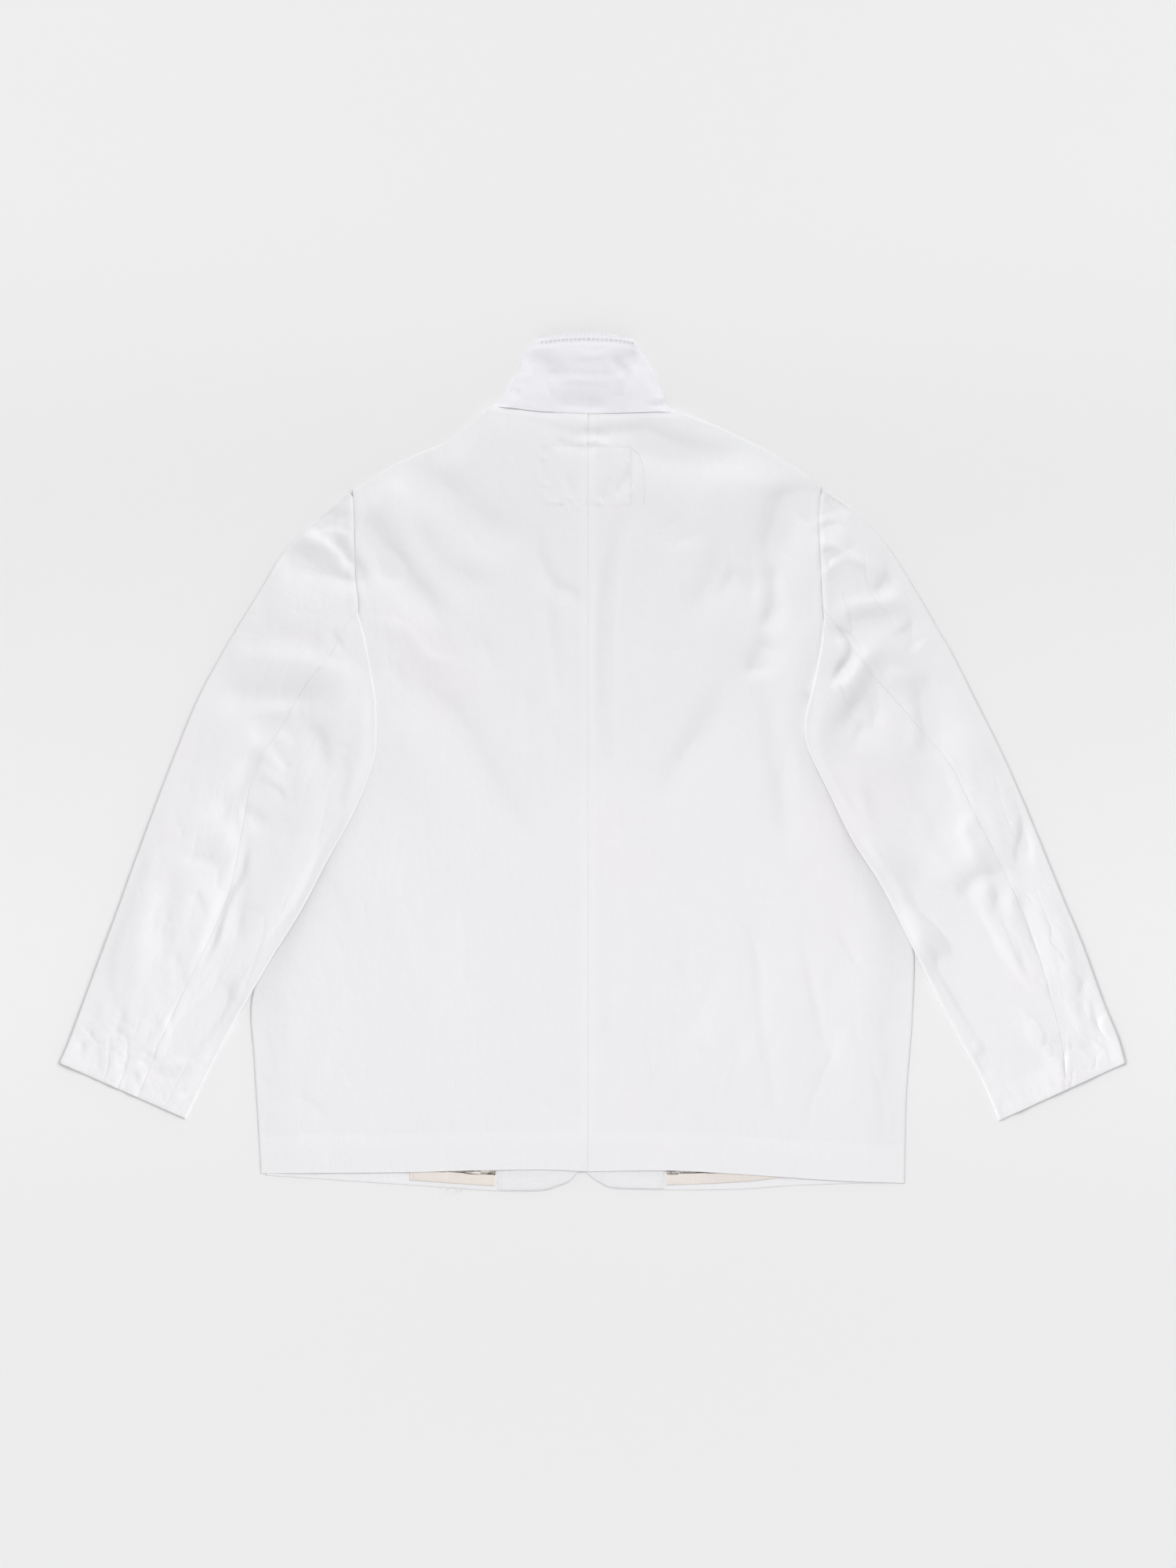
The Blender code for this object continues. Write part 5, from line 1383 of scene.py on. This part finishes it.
def vector_maths(tree, kind, *values):
    made = node(tree, "VectorMath")
    made.operation = kind
    sockets = (made.inputs[0], made.inputs[3]) if kind == "SCALE" else made.inputs
    for value, socket in zip(values, sockets):
        feed(tree, value, socket)
    return made.outputs[1 if kind in ("LENGTH", "DOT_PRODUCT") else 0]


def object_place(tree):
    return node(tree, "TexCoord").outputs["Object"]


def noise(tree, vector, scale, detail=2.0, roughness=0.5):
    made = node(tree, "TexNoise", Vector=vector, Scale=scale, Detail=detail, Roughness=roughness)
    return made.outputs["Fac"]


def stretched(tree, vector, scale):
    return node(tree, "Mapping", Vector=vector, Scale=scale).outputs["Vector"]


def weave_group():
    """Threads that pass over and under each other, with thicker ones here and there."""
    group, enter, leave = new_group(
        "Weave", {"Map": None, "Threads": 1500.0, "Twill": 0.0}, ("Height", "Slub"))
    waver = node(group, "TexNoise", Vector=enter["Map"], Scale=260.0).outputs["Color"]
    uneven = vector_maths(group, "MULTIPLY_ADD", waver, (0.0016, 0.0016, 0.0), enter["Map"])
    split = node(group, "SeparateXYZ", Vector=uneven).outputs
    turns = maths(group, "MULTIPLY", enter["Threads"], math.pi)
    warp = maths(group, "MULTIPLY", split[0], turns)
    weft = maths(group, "MULTIPLY", split[1], turns)
    crossing = maths(group, "MULTIPLY", maths(group, "SINE", warp), maths(group, "SINE", weft))
    diagonal = maths(group, "SINE", maths(group, "ADD", warp, weft))
    mixed = maths(group, "MULTIPLY_ADD", diagonal, enter["Twill"], crossing)
    group.links.new(maths(group, "MULTIPLY_ADD", mixed, 0.5, 0.5), leave["Height"])
    long_threads, short_threads = (
        noise(group, stretched(group, enter["Map"], scale), 1.0, 2.0)
        for scale in ((900, 28, 1), (30, 850, 1)))
    slub = maths(group, "MULTIPLY", maths(group, "ADD", long_threads, short_threads), 0.5)
    group.links.new(slub, leave["Slub"])
    return group


def mottling_group():
    """Soft uneven tone, as cloth has where it was washed, pressed and handled."""
    group, enter, leave = new_group("Mottling", {"Position": None}, ("Tone", "Tint"))
    broad = noise(group, enter["Position"], 9.0, 3.0)
    fine = noise(group, enter["Position"], 70.0, 3.0)
    tone = maths(group, "MULTIPLY_ADD", broad, 0.7, maths(group, "MULTIPLY", fine, 0.3))
    group.links.new(tone, leave["Tone"])
    patches = noise(group, enter["Position"], 5.5, 3.0, 0.55)
    tint = maths(group, "MAXIMUM", maths(group, "MULTIPLY_ADD", patches, 5.0, -2.2), 0.0)
    group.links.new(maths(group, "MINIMUM", tint, 1.0), leave["Tint"])
    return group


def crumple_group():
    """Thin, sharp, shallow creases, as in cotton that was folded and worn."""
    group, enter, leave = new_group("Crumple", {"Map": None}, ("Height",))
    total = 0.0
    for scale, weight in (((22, 10, 1), 1.0), ((48, 26, 1), 0.55), ((110, 70, 1), 0.25)):
        field = noise(group, stretched(group, enter["Map"], scale), 1.0, 1.0)
        crease = maths(group, "ABSOLUTE", maths(group, "SUBTRACT", field, 0.5))
        crease = maths(group, "MINIMUM", maths(group, "MULTIPLY", crease, 9.0), 1.0)
        total = maths(group, "MULTIPLY_ADD", maths(group, "POWER", crease, 0.6), weight, total)
    group.links.new(total, leave["Height"])
    return group


def stitched_line_group():
    """A dashed line of sewing between two points of the plan, seen from above."""
    group, enter, leave = new_group(
        "Stitched line",
        {"Position": None, "Start": None, "End": None, "Stitch": 0.0028, "Width": 0.0007},
        ("Thread", "Furrow"))
    seen = vector_maths(group, "MULTIPLY", enter["Position"], (1, 1, 0))
    offset = vector_maths(group, "SUBTRACT", seen, enter["Start"])
    line = vector_maths(group, "SUBTRACT", enter["End"], enter["Start"])
    length = vector_maths(group, "LENGTH", line)
    direction = vector_maths(group, "NORMALIZE", line)
    along = vector_maths(group, "DOT_PRODUCT", offset, direction)
    foot = vector_maths(group, "SCALE", direction, along)
    aside = vector_maths(group, "LENGTH", vector_maths(group, "SUBTRACT", offset, foot))
    on_line = maths(group, "MULTIPLY", maths(group, "GREATER_THAN", along, 0.0),
                    maths(group, "LESS_THAN", along, length))

    def nearness(width):
        near = maths(group, "SUBTRACT", 1.0, maths(group, "DIVIDE", aside, width))
        return maths(group, "MULTIPLY", maths(group, "MAXIMUM", near, 0.0), on_line)

    turns = maths(group, "MULTIPLY", maths(group, "DIVIDE", along, enter["Stitch"]), 2 * math.pi)
    dash = maths(group, "GREATER_THAN", maths(group, "SINE", turns), -0.45)
    thread = maths(group, "MULTIPLY", nearness(enter["Width"]), dash)
    group.links.new(thread, leave["Thread"])
    group.links.new(nearness(maths(group, "MULTIPLY", enter["Width"], 2.5)), leave["Furrow"])
    return group


def new_material(name):
    material = bpy.data.materials.new(name)
    material.use_nodes = True
    return material, material.node_tree


def finished(material, **looks):
    """Gives a material's shader its looks, under names that have _ for a space."""
    tree = material.node_tree
    for label, value in looks.items():
        feed(tree, value, tree.nodes["Principled BSDF"].inputs[label.replace("_", " ")])
    return material


def cloth_material(name, groups):
    """Woven cotton, from the piece's own grain map and its mask of doubled cloth."""
    finish, seam = FINISHES[name], SEWN[name]
    material, tree = new_material(name + "_cloth")

    def placed(group, **inputs):
        made = node(tree, "Group")
        made.node_tree = groups[group]
        for label, value in inputs.items():
            feed(tree, value, made.inputs[label])
        return made.outputs

    grain = node(tree, "UVMap")
    grain.uv_map = "grain"
    doubled = node(tree, "Attribute")
    doubled.attribute_name = "doubled"
    place = object_place(tree)
    weave = placed("weave", Map=grain.outputs[0], Threads=finish.threads, Twill=finish.twill)
    mottling = placed("mottling", Position=place)
    crumple = placed("crumple", Map=grain.outputs[0])

    # Tone: darker and lighter threads, and a little lighter where doubled
    tone = maths(tree, "MULTIPLY_ADD", mottling["Tone"], finish.shade, 1 - 0.5 * finish.shade)
    slub = maths(tree, "MULTIPLY_ADD", weave["Slub"], finish.slub, 1 - 0.5 * finish.slub)
    layers = maths(tree, "MULTIPLY_ADD", doubled.outputs["Fac"], DOUBLED_LIGHTER, 1.0)
    tone = maths(tree, "MULTIPLY", maths(tree, "MULTIPLY", tone, slub), layers)

    # Relief in metres: threads, fine creases, then any line of sewing, whose stitches also darken the
    # tone with painted shade
    relief = maths(tree, "MULTIPLY", weave["Height"], finish.weave_depth)
    relief = maths(tree, "MULTIPLY_ADD", crumple["Height"], finish.crumple, relief)
    relief = maths(tree, "MULTIPLY_ADD", weave["Slub"], SLUB_DEPTH, relief)
    for ends in STITCHED_LINES[name]:
        start, end = ((np.array((*point, 0.0)) + PLAN_TO_FRAME) * MM for point in ends)
        sewn = placed("stitched_line", Position=place, Start=start, End=end,
                      Stitch=seam.pitch, Width=seam.width)
        relief = maths(tree, "MULTIPLY_ADD", sewn["Thread"], seam.stitch, relief)
        relief = maths(tree, "MULTIPLY_ADD", sewn["Furrow"], seam.furrow, relief)
        # Painted shade: the tone is darkened at each stitch, where its puckers would lie in shade
        tone = maths(tree, "MULTIPLY_ADD", sewn["Thread"], -seam.shade, tone)
    bump = node(tree, "Bump", Strength=1.0, Distance=1.0, Height=relief)

    # Colour: two tints under that tone
    tints = node(tree, "Mix")
    tints.data_type = "RGBA"
    feed(tree, (*finish.colour, 1), tints.inputs["A"])
    feed(tree, (*finish.tint, 1), tints.inputs["B"])
    feed(tree, mottling["Tint"], tints.inputs["Factor"])
    colour = vector_maths(tree, "SCALE", tints.outputs["Result"], tone)
    rough = maths(tree, "MULTIPLY_ADD", weave["Slub"], SLUB_ROUGHNESS,
                  finish.roughness - 0.5 * SLUB_ROUGHNESS)
    return finished(material, Base_Color=colour, Normal=bump.outputs[0], Roughness=rough,
                    Sheen_Weight=finish.sheen, Sheen_Roughness=SHEEN_ROUGHNESS,
                    Specular_IOR_Level=CLOTH_GLOSS)


def thread_material():
    """White sewing thread, with the twist of its plies."""
    material, tree = new_material("sewing_thread")
    twist = maths(tree, "SINE", maths(tree, "MULTIPLY", noise(tree, object_place(tree), 900.0), 30.0))
    colour = node(tree, "ValToRGB", Fac=maths(tree, "MULTIPLY_ADD", twist, 0.5, 0.5))
    colour.color_ramp.elements[0].color = (0.80, 0.80, 0.81, 1)
    colour.color_ramp.elements[1].color = (0.86, 0.86, 0.87, 1)
    rough = maths(tree, "MULTIPLY_ADD", twist, 0.06, 0.7)
    return finished(material, Base_Color=colour.outputs[0], Roughness=rough, Sheen_Weight=0.2)


def floor_material():
    """A plain matt surface, almost white."""
    material, tree = new_material("pale_floor")
    tone = maths(tree, "MULTIPLY_ADD", noise(tree, object_place(tree), 2.0), 0.004, FLOOR_TONE)
    colour = node(tree, "CombineColor", Red=tone, Green=tone, Blue=tone)
    return finished(material, Base_Color=colour.outputs[0], Roughness=0.95, Specular_IOR_Level=0.0)


def studio_light():
    """A soft white dome, brighter near the floor, and two soft lamps that together light the
    floor evenly."""
    world = bpy.data.worlds.new("studio")
    bpy.context.scene.world = world
    world.use_nodes = True
    tree = world.node_tree
    seen = node(tree, "LightPath").outputs["Is Camera Ray"]
    towards = node(tree, "SeparateXYZ", Vector=node(tree, "TexCoord").outputs["Generated"])
    lowness = maths(tree, "SUBTRACT", 1.0, maths(tree, "ABSOLUTE", towards.outputs[2]))
    lowness = maths(tree, "POWER", lowness, HORIZON_POWER)
    dome = maths(tree, "MULTIPLY_ADD", lowness, HORIZON_LEVEL, DOME_LEVEL)
    level = maths(tree, "MULTIPLY_ADD", seen, maths(tree, "SUBTRACT", BACKDROP_LEVEL, dome), dome)
    background = tree.nodes["Background"]
    feed(tree, level, background.inputs["Strength"])
    feed(tree, (1, 1, 1, 1), background.inputs["Color"])
    for name, (place, dark_at, bright_at, strength) in LAMPS.items():
        lamp = bpy.data.lights.new(name, "POINT")
        lamp.energy = 1.0
        lamp.shadow_soft_size = LAMP_RADIUS
        lamp.use_nodes = True
        tree = lamp.node_tree
        x, y, _ = (np.array((*place, 0.0)) + PLAN_TO_FRAME) * MM
        spread = node(tree, "SeparateXYZ", Vector=node(tree, "TexCoord").outputs["Normal"]).outputs
        slant = maths(tree, "MAXIMUM", maths(tree, "ABSOLUTE", spread[2]), LEAST_SLANT)
        ahead = maths(tree, "DIVIDE", spread[1], slant)
        share = node(tree, "MapRange")
        share.interpolation_type = "SMOOTHSTEP"
        feed(tree, maths(tree, "MULTIPLY_ADD", ahead, LAMP_HEIGHT, y), share.inputs["Value"])
        feed(tree, (dark_at + PLAN_TO_FRAME[1]) * MM, share.inputs["From Min"])
        feed(tree, (bright_at + PLAN_TO_FRAME[1]) * MM, share.inputs["From Max"])
        even = node(tree, "LightFalloff", Strength=strength).outputs["Constant"]
        level = maths(tree, "MULTIPLY", maths(tree, "DIVIDE", even, slant), share.outputs["Result"])
        feed(tree, level, tree.nodes["Emission"].inputs["Strength"])
        holder = bpy.data.objects.new(name, lamp)
        holder.location = (x, y, LAMP_HEIGHT)
        bpy.context.scene.collection.objects.link(holder)


def overhead_camera():
    camera = bpy.data.cameras.new("overhead")
    camera.sensor_fit = "VERTICAL"
    camera.sensor_height = SENSOR
    camera.lens = SENSOR * VIEW_HEIGHT / VIEW_LENGTH
    camera.clip_end = 50
    stand = bpy.data.objects.new("overhead", camera)
    stand.location = (*VIEW_CENTRE, VIEW_HEIGHT)
    bpy.context.scene.collection.objects.link(stand)
    bpy.context.scene.camera = stand


def deselect_all():
    if bpy.context.object and bpy.context.object.mode != "OBJECT":
        bpy.ops.object.mode_set(mode="OBJECT")
    bpy.ops.object.select_all(action="DESELECT")


def one_stitch(name, length, width):
    """A single stitch: a short thick thread whose two ends dip into the cloth."""
    deselect_all()
    bpy.ops.mesh.primitive_uv_sphere_add(
        segments=6, ring_count=5, radius=0.5, rotation=(0, math.pi / 2, 0))
    stitch = bpy.context.object
    stitch.name = name
    bpy.ops.object.transform_apply(location=True, rotation=True, scale=True)
    bpy.ops.object.mode_set(mode="EDIT")
    bpy.ops.mesh.select_all(action="SELECT")
    bpy.ops.transform.resize(value=(length, width, 0.8 * width))
    bpy.ops.mesh.select_all(action="DESELECT")
    bpy.ops.object.mode_set(mode="OBJECT")
    for vertex in stitch.data.vertices:
        vertex.select = abs(vertex.co.x) > 0.42 * length
    bpy.ops.object.mode_set(mode="EDIT")
    bpy.ops.transform.translate(value=(0, 0, -0.5 * width))
    bpy.ops.object.mode_set(mode="OBJECT")
    return stitch


def sewing(name, row, surface, material):
    """A row of stitches along a line of the plan, on the given surface."""
    run = curve_through(row.line, 8)
    count = max(2, round(run_lengths(run)[-1] / row.pitch))
    pattern = one_stitch(name, row.length * MM, row.width * MM)
    copies = []
    for step in range(count):
        place = at_share(run, (step + 0.5) / count)
        ahead = at_share(run, min(1.0, (step + 0.6) / count)) - at_share(run, (step + 0.4) / count)
        copy = pattern.copy()
        copy.data = pattern.data.copy()
        bpy.context.scene.collection.objects.link(copy)
        position = np.array((*place, surface(*place) + STITCH_LIFT)) + PLAN_TO_FRAME
        copy.location = Vector(position * MM)
        copy.rotation_euler = (0, 0, math.atan2(ahead[1], ahead[0]) + 0.05 * math.sin(step * 2.4))
        copies.append(copy)
    bpy.data.objects.remove(pattern)
    deselect_all()
    for copy in copies:
        copy.select_set(True)
    bpy.context.view_layer.objects.active = copies[0]
    bpy.ops.object.join()
    bpy.ops.object.transform_apply(location=True, rotation=True, scale=True)
    joined = bpy.context.object
    joined.name = name
    joined.data.materials.clear()
    joined.data.materials.append(material)
    joined.data.shade_smooth()
    return joined


def loose_threads(name, strands, thickness, material):
    """Thin four-sided threads along lines of points (x, y, height over the floor)."""
    curve = bpy.data.curves.new(name, "CURVE")
    curve.dimensions = "3D"
    curve.bevel_depth = 0.5 * thickness * MM
    curve.bevel_resolution = 0
    curve.use_fill_caps = True
    for strand in strands:
        run = (curve_through(strand, 6) + PLAN_TO_FRAME) * MM
        spline = curve.splines.new("POLY")
        spline.points.add(len(run) - 1)
        for point, place in zip(spline.points, run):
            point.co = (*place, 1)
    piece = bpy.data.objects.new(name, curve)
    bpy.context.scene.collection.objects.link(piece)
    deselect_all()
    piece.select_set(True)
    bpy.context.view_layer.objects.active = piece
    bpy.ops.object.convert(target="MESH")
    piece = bpy.context.object
    piece.data.materials.clear()
    piece.data.materials.append(material)
    return piece


def thread_beside_label(back, material):
    surface = height_on(back)
    strand = [(x, y, surface(x, y) + off) for x, y, off in LOOSE_THREAD]
    return loose_threads("loose_thread", [strand], THREAD_THICKNESS, material)


def frayed_hem(material):
    """Threads that hang out of the left front's hem, their roots in its cloth."""
    strands = []
    for number, (x0, y0, x1, y1) in enumerate(FRAYED):
        bow = 1.5 * math.sin(2.1 * number)
        arch = 0.5 + 0.3 * math.sin(number) ** 2
        strands.append([
            (x0, y0 + 1.5, TABLE_CLOTH - 0.2), (x0, y0, TABLE_CLOTH - 0.1),
            ((x0 + x1) / 2 + bow, (y0 + y1) / 2 - 0.4 * bow, arch), (x1, y1, 0.25)])
    return loose_threads("frayed_threads", strands, FRAY_THICKNESS, material)


def floor_sheet(material):
    deselect_all()
    bpy.ops.mesh.primitive_plane_add(size=FLOOR_SIZE, location=(*VIEW_CENTRE, 0))
    floor = bpy.context.object
    floor.name = "floor"
    bpy.ops.object.transform_apply(location=True, rotation=True, scale=True)
    floor.data.materials.append(material)
    return floor


def main():
    overhead_camera()
    scene = bpy.context.scene
    scene.view_settings.view_transform = "Standard"
    scene.view_settings.look = "None"
    studio_light()
    floor_sheet(floor_material())

    groups = {
        "weave": weave_group(), "mottling": mottling_group(), "crumple": crumple_group(),
        "stitched_line": stitched_line_group(),
    }
    cloths = {name: cloth_material(name, groups) for name in FINISHES}
    thread = thread_material()

    pieces = []
    for hand, strips in STRIPS.items():
        pieces.append(front_panel(hand, cloths["jacket_cotton"]))
        for start, strip in strips.items():
            name = start + hand
            pieces.append(strip_under_hem(name, hand, strip, cloths[CUTS[name].slot]))
        pieces.append(back_panel(hand, cloths["jacket_cotton"]))
        for half in ("top", "under"):
            pieces.append(sleeve_piece(hand, half, cloths["jacket_cotton"]))
    pieces.append(collar_layer("collar_cloth_under", 0.0, cloths["collar_cotton"]))
    pieces.append(collar_layer("collar_cloth_top", COLLAR_LAYER_GAP, cloths["collar_cotton"]))

    by_name = {piece.name: piece for piece in pieces}
    going_with = {name: [] for name in by_name}
    for name, row in ROWS.items():
        going_with[row.sheet].append(sewing(name, row, height_on(by_name[row.sheet]), thread))
    going_with["back_cloth_right"].append(thread_beside_label(by_name["back_cloth_right"], thread))
    going_with["front_cloth_left"].append(frayed_hem(thread))

    for piece in pieces:
        cut = CUTS[piece.name]
        for extra in going_with[piece.name]:
            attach(extra, "root")
        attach(piece, "root")
        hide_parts(cut.node)


main()
